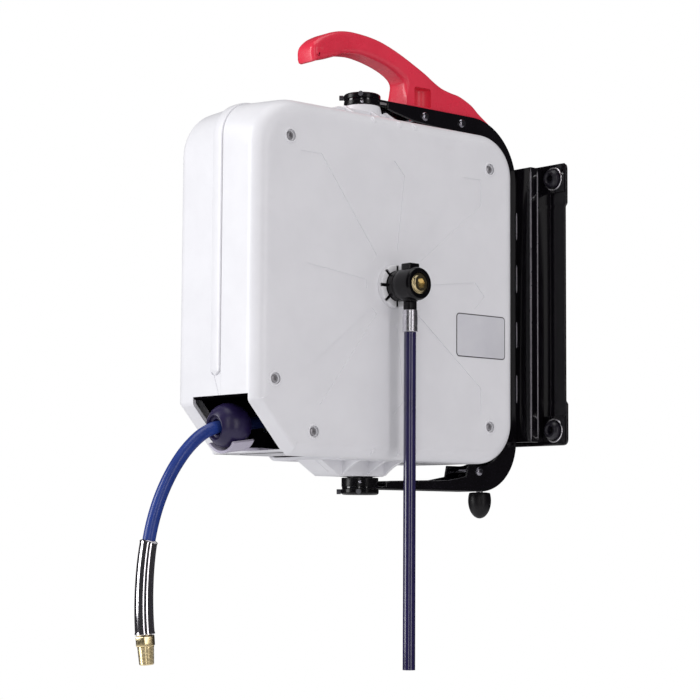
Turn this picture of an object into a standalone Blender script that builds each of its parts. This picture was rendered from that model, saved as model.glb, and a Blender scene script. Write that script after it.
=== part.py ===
"""Wall-mounted enclosed hose reel, as an assembly of separate pieces.

A two-shell plastic housing holds a spring-driven drum. It swivels on two pins between the
arms of a pressed-steel C bracket, which is stitched to a wall plate and carries a handle.
Metres, +Z up. The wall is the plane y = 0, the housing lies on the -Y side of it, and +X is
the side with the inlet swivel. All places below are measured from the drum's centre, and
HUB_Y and HUB_Z put that centre in the world.
"""

import math

import bmesh
import bpy
from mathutils import Matrix, Vector

# Running and seating clearances
FIT = 0.0003
RUN = 0.0006

# Housing
CASE_L = 0.400
CASE_H = 0.396
CASE_T = 0.148
WALL = 0.004
EDGE_R = 0.018
FRONT_TOP_R = 0.040
BACK_R = 0.050
CHAMFER_R = 0.008
CHAMFER_RUN = 0.060
CHAMFER_RISE = 0.068
SEAM_X = 0.011
SEAM_BAR_W = 0.016
SEAM_BAR_H = 0.002
SEAM_BAR_LOW = -0.115
SEAM_BAR_BACK = -0.010
SCREW_IN_Y = 0.0455
SCREW_IN_Z = 0.0435
CHAMFER_SCREWS = ((0.027, 0.0835), (0.082, 0.028))
SCREW_R = 0.0025
SCREW_HEAD_R = 0.0046
SCREW_HEAD_H = 0.0022
SCREW_BOSS_R = 0.0068
SINK_R = 0.0066
SINK_DEPTH = 0.0026
RAY_COUNT = 8
RAY_IN = 0.042
RAY_MARGIN = 0.054
RAY_CORNER_MARGIN = 0.060
RAY_HALF_ANGLE = math.radians(7.0)
RAY_DEPTH = 0.0008
MOUTH_CHEEK = 0.025
MOUTH_W = CASE_T - 2 * MOUTH_CHEEK
MOUTH_LIP = 0.001

# Swivel pivots
PIVOT_Y = 0.015
PIN_R = 0.006
PIN_SINK = 0.002
FOOT_H = 0.014
FOOT_HALF_W = 0.022
FOOT_FLAT = (-0.041, 0.038)
FOOT_BASE = (-0.066, 0.060)
FOOT_RIB_REACH = 0.038
FOOT_RIB_T = 0.004
FOOT_RIB_YS = (-0.024, 0.0, 0.024)
CAP_R = 0.022
CAP_H = 0.0065
CAP_ROOF = 0.0015
BUSH_R = 0.015
BUSH_FLANGE_R = 0.019
BUSH_FLANGE_H = 0.003
BUSH_GAP = 0.0145
SET_SCREW_R = 0.003
SET_SCREW_OUT = 0.005

# Bracket
STEEL = 0.003
ARM_Z = CASE_H / 2 + FOOT_H + BUSH_GAP + STEEL
ARM_W = 0.040
SPINE_GAP = 0.055
SPINE_Y = CASE_L / 2 + SPINE_GAP
TOP_BEND_R = 0.076
LOW_BEND_R = 0.062
FLANGE_START = PIVOT_Y + 0.023
FLANGE_SPINE = 0.022
TOP_FLANGE = ((PIVOT_Y + 0.030, 0.0115), (PIVOT_Y + 0.067, 0.0185), (PIVOT_Y + 0.109, 0.0215))
GUSSET_FOOT = SPINE_Y - 0.086
LOW_FLANGE = ((PIVOT_Y + 0.030, 0.0100), (GUSSET_FOOT - 0.029, 0.0130), (GUSSET_FOOT, 0.0180))
GUSSET_TOP = SPINE_Y - 0.083
GUSSET_DEPTH = 0.0315
BOLT_R = 0.003
BOLT_HEAD_R = 0.0055
BOLT_HEAD_H = 0.0035
HANDLE_BOLTS = (SPINE_Y - 0.157, SPINE_Y - 0.095)
HANDLE_BOLT_DROP = 0.0105
CORNER_BOLT = (SPINE_Y - 0.065, -ARM_Z + 0.0245)

# Place of the drum's centre
WALL_GAP = 0.029
HUB_Y = -(SPINE_Y + WALL_GAP)
HUB_Z = -0.003

# Carry handle
GRIP_W = 0.030
GRIP_EDGE = 0.006
TONGUE_T = 0.008
TONGUE_SPAN = (SPINE_Y - 0.171, SPINE_Y - 0.081)
TONGUE_DROP = 0.0155
TONGUE_ROOT = 0.004
POCKET_Y = SPINE_Y - 0.143
POCKET_R = 0.0105
POCKET_FLOOR = 0.004
POCKET_TOP = 0.0285
SADDLE_FRONT = -0.195
SADDLE_TURN = 63.0

# The handle's underside, tip and top, from the bracket's spine and the top of its arm: (y, z)
GRIP_UNDERSIDE = (
    (-0.1975, 0.0085),
    (-0.1985, 0.0195),
    (-0.205, 0.028),
    (-0.219, 0.0365),
    (-0.241, 0.044),
    (-0.263, 0.048),
    (-0.285, 0.047),
    (-0.301, 0.0415),
    (-0.312, 0.0355),
    (-0.325, 0.0305),
    (-0.335, 0.026),
)
GRIP_TIP = (
    (-0.3415, 0.0295),
    (-0.3435, 0.0375),
    (-0.3415, 0.047),
)
GRIP_TOP = (
    (-0.332, 0.0565),
    (-0.317, 0.0655),
    (-0.301, 0.0715),
    (-0.285, 0.0755),
    (-0.267, 0.078),
    (-0.249, 0.0785),
    (-0.233, 0.0775),
    (-0.217, 0.075),
    (-0.201, 0.0715),
    (-0.183, 0.0665),
    (-0.165, 0.0605),
    (-0.147, 0.053),
    (-0.129, 0.044),
    (-0.112, 0.035),
    (-0.095, 0.0285),
    (-0.077, 0.0235),
    (-0.061, 0.016),
    (-0.047, 0.005),
)

# Lock knob under the lower bend
KNOB_Y = SPINE_Y - 0.044
KNOB_R = 0.0128
KNOB_L = 0.027
KNOB_NECK_R = 0.0075
KNOB_NECK = 0.005
STUD_R = 0.004
STUD_UP = 0.018
STUD_IN_KNOB = 0.012

# Wall plate
PLATE_W = 0.166
PLATE_IN = 0.0545
PLATE_H = 2 * (ARM_Z - PLATE_IN)
PLATE_WAIST = 0.005
PLATE_T = 0.003
PLATE_CORNER_R = 0.008
RAIL_T = 0.003
RAIL_HALF_W = 0.022
LUG_X = PLATE_W / 2 - 0.022
LUG_Z = PLATE_H / 2 - 0.0185
LUG_REACH = 0.051
LUG_HOLE_R = 0.009
LUG_PAD = 0.036
LUG_PAD_T = 0.002
GROMMET_R = 0.0125
GROMMET_LIP = 0.003
GROMMET_HOLE_R = 0.0045
WELD_R = 0.0022
WELD_LENGTH = 0.032
WELD_PITCH = 0.0625
WELD_COUNT = 4

# Hose and drum
HOSE_R = 0.007
HOSE_BORE_R = 0.004
DRUM_W = 0.088
DRUM_CLEAR = 0.026
DRUM_R = min(CASE_L, CASE_H) / 2 - WALL - DRUM_CLEAR
DRUM_SHEET = 0.0025
DRUM_RIM = 0.006
CORE_DEPTH = 0.074
CORE_R = DRUM_R - CORE_DEPTH
CORE_WALL = 0.004
COIL_DEPTH = 0.036
COIL_R = DRUM_R - COIL_DEPTH
SHAFT_R = 0.010
SHAFT_NOSE_R = 0.007
SHAFT_BORE_R = 0.004
ELBOW_R = 0.006
BEARING_R = 0.015
BEARING_WALL = 0.004
BEARING_L = 0.010
RATCHET_R = 0.060
RATCHET_TEETH = 18
TOOTH_H = 0.007
RATCHET_T = 0.006
PAWL_L = 0.034
PAWL_W = 0.010
PAWL_ANGLE = 128.0
PAWL_GAP = 0.0012
PAWL_PIN_R = 0.003
SPRING_CASE_R = 0.080
SPRING_CASE_W = 0.026
SPRING_CASE_T = 0.002
SPRING_LEAVE = 0.004
SPRING_STRIP = 0.0014
SPRING_TURNS = 6
SPRING_IN_R = 0.0222
SPRING_OUT_R = SPRING_CASE_R - SPRING_CASE_T - SPRING_LEAVE
ARBOR_R = 0.020

# Inlet swivel
HUB_RING_R = 0.0265
HUB_RING_IN_R = 0.0175
HUB_RING_H = 0.006
HUB_NOTCH_W = 0.004
HUB_NOTCH_DEPTH = 0.003
STAR_TAB_W = 0.003
STAR_TAB_R = 0.0235
SWIVEL_R = 0.0165
SWIVEL_L = 0.026
SWIVEL_STEM_R = 0.0085
SWIVEL_STEM_DOWN = 0.0155
SWIVEL_CAP = 0.0205
SWIVEL_CAP_W = 0.015
PLUG_R = 0.0122
PLUG_H = 0.0085
PLUG_HEX = 0.0055
PLUG_HEX_DEPTH = 0.004
NUT_AF = 0.015
NUT_H = 0.009
FERRULE_L = 0.025
FERRULE_R = 0.0072
FEED_DROP = 0.234
FEED_END = -CASE_H / 2 - FEED_DROP

# Outlet
BALL_R = 0.025
BALL_AT = (-CASE_L / 2 + 0.013, -CASE_H / 2 + 0.034)
BALL_CUP_R = 0.017
BALL_CUP_DEPTH = 0.010
COLLAR_R = 0.0268
COLLAR_T = 0.003
COLLAR_L = 0.020
COLLAR_TILT = 28.0
COLLAR_SWEEP = 190.0
COLLAR_TONGUE_W = 0.024
COLLAR_TONGUE_T = 0.0028
COLLAR_TONGUE_LIFT = 0.0036
GUIDE_T = 0.0025
GUIDE_LIFT = 0.0013
GUIDE_ROOF = 0.044
GUIDE_BACK = 0.010
GUIDE_RISE = 0.048
GUIDE_SLOT_W = 0.019
GUIDE_SLOT_L = 0.090
SLEEVE_TOP_R = 0.0092
SLEEVE_END_R = 0.0104
SLEEVE_START = 0.175
HEX_AF = 0.019
HEX_H = 0.011
THREAD_R = 0.0080
THREAD_END_R = 0.0070
THREAD_H = 0.019

# The outlet hose's route from the ball's centre: (y, z)
OUTLET_RUN = (
    (-0.0002, 0.0),
    (-0.008, -0.001),
    (-0.016, -0.0024),
    (-0.025, -0.005),
    (-0.036, -0.0105),
    (-0.0475, -0.019),
    (-0.0585, -0.0295),
    (-0.0685, -0.0415),
    (-0.0775, -0.0545),
    (-0.0855, -0.0685),
    (-0.0925, -0.0835),
    (-0.0982, -0.099),
    (-0.1027, -0.115),
    (-0.106, -0.1315),
    (-0.1083, -0.148),
    (-0.1097, -0.165),
    (-0.1103, -0.182),
    (-0.1101, -0.199),
    (-0.1093, -0.2135),
    (-0.1083, -0.2245),
)
FEED_X = CASE_T / 2 + 0.0272

SMOOTH_ANGLE = math.radians(40)
ARC = 5
ROUND = 24
DRUM_FACETS = 32


# Scene and material helpers


def clear_scene():
    """Removes what the startup scene holds."""
    for obj in list(bpy.data.objects):
        bpy.data.objects.remove(obj, do_unlink=True)


def material(name, color, roughness, metallic=0.0):
    """A Principled BSDF material."""
    made = bpy.data.materials.new(name)
    made.use_nodes = True
    shader = made.node_tree.nodes["Principled BSDF"]
    shader.inputs["Base Color"].default_value = (*color, 1.0)
    shader.inputs["Roughness"].default_value = roughness
    shader.inputs["Metallic"].default_value = metallic
    return made


def make_materials():
    """All materials, by the name of their finish."""
    return {
        "shell": material("shell", (0.86, 0.86, 0.87), 0.42),
        "black_steel": material("black_steel", (0.012, 0.011, 0.014), 0.38, 0.3),
        "black_plastic": material("black_plastic", (0.015, 0.012, 0.018), 0.5),
        "handle": material("handle", (0.62, 0.02, 0.06), 0.35),
        "rubber": material("rubber", (0.035, 0.03, 0.075), 0.55),
        "hose": material("hose", (0.03, 0.06, 0.26), 0.45),
        "feed_hose": material("feed_hose", (0.02, 0.02, 0.11), 0.4),
        "brass": material("brass", (0.78, 0.62, 0.30), 0.28, 1.0),
        "chrome": material("chrome", (0.78, 0.78, 0.80), 0.14, 1.0),
        "zinc": material("zinc", (0.62, 0.63, 0.65), 0.35, 1.0),
        "spring_steel": material("spring_steel", (0.30, 0.31, 0.34), 0.35, 1.0),
        "nylon": material("nylon", (0.80, 0.79, 0.74), 0.5),
    }


def empty(name, place):
    """An empty on a joint's axis, which carries the moving pieces."""
    made = bpy.data.objects.new(name, None)
    made.empty_display_size = 0.03
    made.location = place
    bpy.context.scene.collection.objects.link(made)
    return made


def hub(x=0.0, y=0.0, z=0.0):
    """A place measured from the drum's centre, in world coordinates."""
    return Vector((x, y + HUB_Y, z + HUB_Z))


def finish(name, mesh_data, surface, parent=None, smooth=True):
    """Puts a mesh in the scene with its material and parent, at its world place."""
    bm = mesh_data
    bmesh.ops.recalc_face_normals(bm, faces=bm.faces)
    mesh = bpy.data.meshes.new(name)
    bm.to_mesh(mesh)
    bm.free()
    obj = bpy.data.objects.new(name, mesh)
    bpy.context.scene.collection.objects.link(obj)
    if surface:
        mesh.materials.append(surface)
    if smooth:
        mesh.shade_smooth()
        mesh.set_sharp_from_angle(angle=SMOOTH_ANGLE)
    if parent:
        obj.parent = parent
        obj.matrix_parent_inverse = Matrix.Translation(parent.location).inverted()
    return obj


def helper(name, mesh_data):
    """A cutter or an addition for a Boolean, which is no node."""
    obj = finish(name, mesh_data, None, smooth=False)
    obj.hide_render = True
    obj.display_type = "WIRE"
    return obj


def boolean(obj, other, operation):
    """A Boolean modifier on obj."""
    modifier = obj.modifiers.new(other.name, "BOOLEAN")
    modifier.operation = operation
    modifier.object = other
    modifier.solver = "EXACT"


# Shape helpers


def to_axis(axis, along, u, v):
    """A point from its place along an axis and its two places across it."""
    if axis == "X":
        return Vector((along, u, v))
    if axis == "Y":
        return Vector((u, along, v))
    return Vector((u, v, along))


def loft(bm, rings, closed_ends=True):
    """Faces between rings of equal count, with flat ends."""
    loops = [[bm.verts.new(point) for point in ring] for ring in rings]
    for low, high in zip(loops, loops[1:]):
        count = len(low)
        for i in range(count):
            j = (i + 1) % count
            bm.faces.new((low[i], low[j], high[j], high[i]))
    if closed_ends:
        bm.faces.new(list(reversed(loops[0])))
        bm.faces.new(loops[-1])
    return loops


def prism(outline, low, high, axis):
    """An outline extruded along an axis."""
    bm = bmesh.new()
    rings = [[to_axis(axis, at, u, v) for u, v in outline] for at in (low, high)]
    loft(bm, rings)
    return bm


def box(low, high):
    """A box between two corners."""
    outline = ((low[0], low[1]), (high[0], low[1]), (high[0], high[1]), (low[0], high[1]))
    return prism(outline, low[2], high[2], "Z")


def circle(radius, count, centre=(0.0, 0.0), start=0.0):
    """Points round a circle."""
    return [
        (
            centre[0] + radius * math.cos(start + math.tau * i / count),
            centre[1] + radius * math.sin(start + math.tau * i / count),
        )
        for i in range(count)
    ]


def cylinder(radius, low, high, axis, centre=(0.0, 0.0), count=ROUND):
    """A round bar along an axis."""
    return prism(circle(radius, count, centre), low, high, axis)


def turned(profile, axis, centre=(0.0, 0.0), count=ROUND):
    """A closed profile of (along, radius) turned round an axis."""
    bm = bmesh.new()
    rows = []
    for i in range(count):
        a = math.tau * i / count
        rows.append([(at, r * math.cos(a), r * math.sin(a)) for at, r in profile])
    verts = [
        [
            bm.verts.new(to_axis(axis, at, centre[0] + u, centre[1] + v))
            for at, u, v in row
        ]
        for row in rows
    ]
    size = len(profile)
    for i in range(count):
        j = (i + 1) % count
        for k in range(size):
            m = (k + 1) % size
            if profile[k][1] == 0.0 and profile[m][1] == 0.0:
                continue
            bm.faces.new((verts[i][k], verts[i][m], verts[j][m], verts[j][k]))
    bmesh.ops.remove_doubles(bm, verts=bm.verts, dist=1e-6)
    return bm


def arc(centre, radius, start, end, count):
    """Points on an arc, in degrees."""
    return [
        (
            centre[0] + radius * math.cos(math.radians(start + (end - start) * i / count)),
            centre[1] + radius * math.sin(math.radians(start + (end - start) * i / count)),
        )
        for i in range(count + 1)
    ]


def joined(*parts):
    """Several meshes as one, for a Boolean helper."""
    whole = bmesh.new()
    for part in parts:
        mesh = bpy.data.meshes.new("joined")
        part.to_mesh(mesh)
        part.free()
        whole.from_mesh(mesh)
        bpy.data.meshes.remove(mesh)
    return whole


def moved(bm, offset):
    """A mesh shifted by an offset."""
    bmesh.ops.translate(bm, verts=bm.verts, vec=offset)
    return bm


def turned_about(bm, degrees, axis, centre):
    """A mesh turned about an axis through a centre."""
    matrix = Matrix.Rotation(math.radians(degrees), 3, axis)
    bmesh.ops.rotate(bm, verts=bm.verts, cent=centre, matrix=matrix)
    return bm


def rounded(corners, inset=0.0):
    """An outline of (u, v, radius) corners, anticlockwise, set in by a distance."""
    count = len(corners)
    points = []
    for i, (u, v, radius) in enumerate(corners):
        here = Vector((u, v))
        back = (Vector(corners[i - 1][:2]) - here).normalized()
        on = (Vector(corners[(i + 1) % count][:2]) - here).normalized()
        half = back.angle(on) / 2
        middle = (back + on).normalized()
        corner = here + middle * (inset / math.sin(half))
        r = max(radius - inset, 0.0006)
        centre = corner + middle * (r / math.sin(half))
        first = corner + back * (r / math.tan(half)) - centre
        sweep = math.pi - 2 * half
        for k in range(ARC + 1):
            a = sweep * k / ARC
            turn = Matrix.Rotation(a, 2)
            points.append(tuple(centre + turn @ first))
    return points


# Housing


def case_corners():
    """The housing's side outline, anticlockwise in (y, z)."""
    front, back, top, low = -CASE_L / 2, CASE_L / 2, CASE_H / 2, -CASE_H / 2
    return (
        (front, low + CHAMFER_RISE, CHAMFER_R),
        (front + CHAMFER_RUN, low, CHAMFER_R),
        (back, low, BACK_R),
        (back, top, BACK_R),
        (front, top, FRONT_TOP_R),
    )


def case_ring(x, inset):
    """One ring of the housing at a place across its thickness."""
    return [hub(x, y, z) for y, z in rounded(case_corners(), inset)]


def edge_levels(side, thickness_inset, radius):
    """The rings round the rounded edge, as (x, inset)."""
    face = side * (CASE_T / 2 - thickness_inset)
    steps = 3
    levels = []
    for i in range(steps + 1):
        a = math.pi / 2 * i / steps
        x = face - side * radius * (1 - math.sin(a))
        levels.append((x, thickness_inset + radius * (1 - math.cos(a))))
    return levels


def shell_body(side):
    """One half shell before its holes are cut."""
    rim = SEAM_X if side > 0 else SEAM_X - FIT
    outer = [(rim, 0.0)] + edge_levels(side, 0.0, EDGE_R)
    inner = [(rim, WALL)] + edge_levels(side, WALL, EDGE_R - WALL)
    bm = bmesh.new()
    shell_rings = [case_ring(x, inset) for x, inset in reversed(outer)]
    shell_rings += [case_ring(x, inset) for x, inset in inner]
    loft(bm, shell_rings)
    return bm


def screw_places():
    """Where the shell screws go through, in (y, z)."""
    a, b = CASE_L / 2 - SCREW_IN_Y, CASE_H / 2 - SCREW_IN_Z
    low = tuple((y - CASE_L / 2, z - CASE_H / 2) for y, z in CHAMFER_SCREWS)
    return ((-a, b), (a, b), (a, -b)) + low


def screw_bosses(side):
    """The posts inside a shell that the screws run in."""
    inside = side * (CASE_T / 2 - WALL / 2)
    rim = SEAM_X + FIT if side > 0 else SEAM_X - 2 * FIT
    posts = []
    for y, z in screw_places():
        at = hub(0, y, z)
        posts.append(cylinder(SCREW_BOSS_R, inside, rim, "X", (at.y, at.z), 12))
    return joined(*posts)


def screw_holes(side):
    """The screws' clearance bores, with a sink for each head on the inlet side."""
    cuts = []
    for y, z in screw_places():
        at = hub(0, y, z)
        centre = (at.y, at.z)
        if side > 0:
            cuts.append(cylinder(SCREW_R + FIT, SEAM_X - 0.01, CASE_T, "X", centre, 10))
        else:
            end = -CASE_T / 2 + 2 * WALL
            cuts.append(cylinder(SCREW_R + FIT, end, SEAM_X + 0.01, "X", centre, 10))
    return joined(*cuts)


def screw_sinks():
    """The round sinks for the screw heads in the outer face."""
    cuts = []
    for y, z in screw_places():
        at = hub(0, y, z)
        face = CASE_T / 2
        cuts.append(cylinder(SINK_R, face - SINK_DEPTH, face + 0.01, "X", (at.y, at.z), 12))
    return joined(*cuts)


def mouth_span():
    """The mouth's two sides across the housing."""
    return SEAM_X - MOUTH_W / 2, SEAM_X + MOUTH_W / 2


def mouth_cut(name):
    """The cutter of the mouth in the chamfered corner."""
    front, low = -CASE_L / 2, -CASE_H / 2
    top = low + CHAMFER_RISE - MOUTH_LIP
    back = front + CHAMFER_RUN - MOUTH_LIP
    deep = 2.5 * WALL
    outline = (
        (front - 0.02, top),
        (front + deep, top),
        (back, low + deep),
        (back, low - 0.02),
        (front - 0.02, low - 0.02),
    )
    outline = [(y + HUB_Y, z + HUB_Z) for y, z in outline]
    return helper(name, prism(outline, *mouth_span(), "X"))


def foot(side, end):
    """The swivel foot above or below the housing, on one shell's side of the seam."""
    root = end * (CASE_H / 2 - WALL / 2)
    flat = end * (CASE_H / 2 + FOOT_H)
    outline = (
        (FOOT_BASE[0], root),
        (FOOT_BASE[1], root),
        (FOOT_FLAT[1], flat),
        (FOOT_FLAT[0], flat),
    )
    outline = [(y + HUB_Y, z + HUB_Z) for y, z in outline]
    if side > 0:
        return prism(outline, SEAM_X, FOOT_HALF_W, "X")
    return prism(outline, -FOOT_HALF_W, SEAM_X - FIT, "X")


def foot_ribs(side, end):
    """The curved ribs that brace a swivel foot against the housing's edge."""
    root = end * (CASE_H / 2 - WALL / 2)
    flat = end * (CASE_H / 2 + FOOT_H - 0.001)
    start = side * (FOOT_HALF_W - 0.004)
    reach = side * (FOOT_HALF_W + FOOT_RIB_REACH)
    outline = [(start, root + HUB_Z)]
    steps = 5
    for i in range(steps + 1):
        a = math.pi / 2 * i / steps
        x = reach + (start - reach) * math.sin(a)
        z = root + (flat - root) * (1 - math.cos(a))
        outline.append((x, z + HUB_Z))
    ribs = []
    for y in FOOT_RIB_YS:
        at = hub(0, PIVOT_Y / 2 + y).y
        ribs.append(prism(outline, at - FOOT_RIB_T / 2, at + FOOT_RIB_T / 2, "Y"))
    return ribs


def seam_bar():
    """The half-round bar along the seam, from the top over the rounded corner down the front."""
    front, top = -CASE_L / 2, CASE_H / 2
    back = FOOT_BASE[0] + SEAM_BAR_BACK
    middle = (front + FRONT_TOP_R, top - FRONT_TOP_R)

    def path(height):
        bend = arc(middle, FRONT_TOP_R + height, 90, 180, ARC)
        return [(back, top + height)] + bend + [(front - height, SEAM_BAR_LOW)]

    under = path(-WALL / 2)
    rings = []
    steps = 6
    for i in range(steps + 1):
        a = math.pi * i / steps
        x = SEAM_X - 2 * FIT - SEAM_BAR_W / 2 * (1 - math.cos(a))
        outline = path(SEAM_BAR_H * math.sin(a) - FIT) + list(reversed(under))
        rings.append([hub(x, y, z) for y, z in outline])
    bm = bmesh.new()
    loft(bm, rings)
    return bm


def rays():
    """The cutters of the shallow tapered rays sunk in the inlet side."""
    face = CASE_T / 2
    spread = math.tan(RAY_HALF_ANGLE)
    made = []
    for i in range(RAY_COUNT):
        tip = CASE_L / 2 - RAY_MARGIN
        if i % 2:
            tip = (CASE_L / 2 - RAY_CORNER_MARGIN) * math.sqrt(2)
        shoulder = tip / (1 + spread)
        outline = (
            (RAY_IN, -RAY_IN * spread),
            (shoulder, -shoulder * spread),
            (tip, 0.0),
            (shoulder, shoulder * spread),
            (RAY_IN, RAY_IN * spread),
        )
        turn = Matrix.Rotation(math.tau * i / RAY_COUNT, 2)
        points = [turn @ Vector(point) for point in outline]
        points = [(p.x + HUB_Y, p.y + HUB_Z) for p in points]
        made.append(prism(points, face - RAY_DEPTH, face + 0.01, "X"))
    return joined(*made)


def make_shell(side, surface, parent):
    """One half shell with its posts, feet, mouth and holes."""
    name = "right_shell" if side > 0 else "left_shell"
    shell = finish(name, shell_body(side), surface, parent)
    boolean(shell, helper(name + "_posts", screw_bosses(side)), "UNION")
    for end, where in ((1, "upper"), (-1, "lower")):
        boolean(shell, helper(f"{name}_{where}_foot", foot(side, end)), "UNION")
        ribs = joined(*foot_ribs(side, end))
        boolean(shell, helper(f"{name}_{where}_ribs", ribs), "UNION")
    inside = side * (CASE_T / 2 - WALL / 2)
    seat = side * (CASE_T / 2 - WALL - BEARING_L)
    at = hub()
    post = cylinder(BEARING_R + BEARING_WALL, inside, seat, "X", (at.y, at.z), 32)
    boolean(shell, helper(name + "_bearing_post", post), "UNION")
    if side > 0:
        boolean(shell, helper(name + "_rays", rays()), "DIFFERENCE")
        boolean(shell, helper(name + "_sinks", screw_sinks()), "DIFFERENCE")
        ends = (seat - 0.01, CASE_T)
    else:
        boolean(shell, helper(name + "_bar", seam_bar()), "UNION")
        ends = (-CASE_T / 2 + WALL, seat + 0.01)
    bore = cylinder(BEARING_R + FIT, *ends, "X", (at.y, at.z), 32)
    boolean(shell, helper(name + "_bore", bore), "DIFFERENCE")
    boolean(shell, helper(name + "_holes", screw_holes(side)), "DIFFERENCE")
    boolean(shell, mouth_cut(name + "_mouth"), "DIFFERENCE")
    if side < 0:
        centre = (0.0, PIVOT_Y + HUB_Y)
        pin_cuts = []
        for end in (1, -1):
            start = end * (CASE_H / 2 - PIN_SINK) + HUB_Z
            stop = end * (CASE_H / 2 + FOOT_H + 0.01) + HUB_Z
            pin_cuts.append(cylinder(PIN_R + FIT, start, stop, "Z", centre, 24))
        boolean(shell, helper(name + "_pin_bores", joined(*pin_cuts)), "DIFFERENCE")
    return shell


def make_shell_screws(surface, parent):
    """The pan-head screws that hold the shells together."""
    face = CASE_T / 2 - SINK_DEPTH + FIT
    tip = -CASE_T / 2 + 2 * WALL + FIT
    profile = (
        (tip, 0.0),
        (tip, SCREW_R),
        (face, SCREW_R),
        (face, SCREW_HEAD_R),
        (face + SCREW_HEAD_H * 0.6, SCREW_HEAD_R),
        (face + SCREW_HEAD_H, SCREW_HEAD_R * 0.6),
        (face + SCREW_HEAD_H, 0.0),
    )
    for i, (y, z) in enumerate(screw_places(), 1):
        at = hub(0, y, z)
        bm = turned(profile, "X", (at.y, at.z), 12)
        finish(f"shell_screw_{i}", bm, surface, parent)


def make_bearings(surface, parent):
    """The drum shaft's bushes in the two shells."""
    at = hub()
    for side, name in ((1, "right_bearing"), (-1, "left_bearing")):
        face = side * (CASE_T / 2 - (0.0 if side > 0 else WALL + FIT))
        seat = side * (CASE_T / 2 - WALL - BEARING_L + FIT)
        bore = SHAFT_NOSE_R if side > 0 else SHAFT_R
        profile = (
            (seat, bore + RUN),
            (seat, BEARING_R),
            (face, BEARING_R),
            (face, bore + RUN),
        )
        finish(name, turned(profile, "X", (at.y, at.z), 32), surface, parent)


# Swivel pins, bushes and caps


def make_pivot(end, surfaces, bracket, housing):
    """One swivel pivot: bush on the arm, pin in the foot, cap with two set screws."""
    where = "upper" if end > 0 else "lower"
    centre = (0.0, PIVOT_Y + HUB_Y)

    def z(height):
        return end * height + HUB_Z

    foot_top = CASE_H / 2 + FOOT_H
    web_in = ARM_Z - STEEL
    cap_low = ARM_Z + FIT
    cap_top = cap_low + CAP_H
    bush = (
        (z(foot_top + FIT), PIN_R + RUN),
        (z(foot_top + FIT), BUSH_FLANGE_R),
        (z(foot_top + FIT + BUSH_FLANGE_H), BUSH_FLANGE_R),
        (z(foot_top + FIT + BUSH_FLANGE_H), BUSH_R),
        (z(web_in - FIT), BUSH_R),
        (z(web_in - FIT), PIN_R + RUN),
    )
    finish(f"{where}_bush", turned(bush, "Z", centre), surfaces["black_plastic"], bracket)
    pin = cylinder(
        PIN_R,
        z(CASE_H / 2 - PIN_SINK + FIT),
        z(cap_top - CAP_ROOF - FIT),
        "Z",
        centre,
        24,
    )
    finish(f"{where}_pin", pin, surfaces["zinc"], housing)
    cap = (
        (z(cap_low), PIN_R + FIT),
        (z(cap_low), CAP_R - 0.001),
        (z(cap_low + 0.001), CAP_R),
        (z(cap_top - 0.0015), CAP_R),
        (z(cap_top), CAP_R - 0.0015),
        (z(cap_top), 0.0),
        (z(cap_top - CAP_ROOF), 0.0),
        (z(cap_top - CAP_ROOF), PIN_R + FIT),
    )
    cap_obj = finish(f"{where}_cap", turned(cap, "Z", centre), surfaces["black_steel"], housing)
    middle = z(cap_low + CAP_H / 2 - 0.0003)
    for i, degrees in enumerate((-45.0, -135.0), 1):
        axis_place = Vector((*centre, middle))
        hole = cylinder(SET_SCREW_R - 0.0005, PIN_R + 0.002, CAP_R + 0.01, "X", count=14)
        turned_about(moved(hole, axis_place), degrees, "Z", axis_place)
        cutter = helper(f"{where}_cap_hole_{i}", hole)
        boolean(cap_obj, cutter, "DIFFERENCE")
        shank, head = SET_SCREW_R - 0.0005 - FIT, SET_SCREW_R
        profile = (
            (PIN_R + 0.002 + FIT, 0.0),
            (PIN_R + 0.002 + FIT, shank),
            (CAP_R + FIT, shank),
            (CAP_R + FIT, head),
            (CAP_R + SET_SCREW_OUT, head),
            (CAP_R + SET_SCREW_OUT, 0.0),
        )
        screw = turned(profile, "X", (0.0, 0.0), 14)
        turned_about(moved(screw, axis_place), degrees, "Z", axis_place)
        finish(f"{where}_cap_screw_{i}", screw, surfaces["zinc"], housing)


# Bracket


def web_path(inset):
    """The line of the bracket's strip, from the upper pivot to the lower one, in (y, z)."""
    top, low, back = ARM_Z - inset, -ARM_Z + inset, SPINE_Y - inset
    path = [(PIVOT_Y, top)]
    path += arc(
        (SPINE_Y - TOP_BEND_R, ARM_Z - TOP_BEND_R), TOP_BEND_R - inset, 90, 0, 9
    )
    path += arc(
        (SPINE_Y - LOW_BEND_R, -ARM_Z + LOW_BEND_R), LOW_BEND_R - inset, 0, -90, 9
    )
    path.append((PIVOT_Y, low))
    assert back > 0
    return path


def flange_inner():
    """The flange's free edge, from the lower pivot back to the upper one, in (y, z)."""
    edge = [(FLANGE_START, -ARM_Z + LOW_FLANGE[0][1] * 0.85)]
    edge += [(y, -ARM_Z + depth) for y, depth in LOW_FLANGE]
    edge.append((GUSSET_TOP, -ARM_Z + GUSSET_DEPTH))
    low_inner = LOW_BEND_R - FLANGE_SPINE
    edge += arc(
        (SPINE_Y - LOW_BEND_R, -ARM_Z + LOW_BEND_R + GUSSET_DEPTH - FLANGE_SPINE),
        low_inner,
        -90,
        0,
        7,
    )
    top_inner = TOP_BEND_R - FLANGE_SPINE
    edge += arc((SPINE_Y - TOP_BEND_R, ARM_Z - TOP_BEND_R), top_inner, 0, 90, 8)
    edge += [(y, ARM_Z - depth) for y, depth in reversed(TOP_FLANGE)]
    edge.append((FLANGE_START, ARM_Z - TOP_FLANGE[0][1] * 0.85))
    return edge


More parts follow.
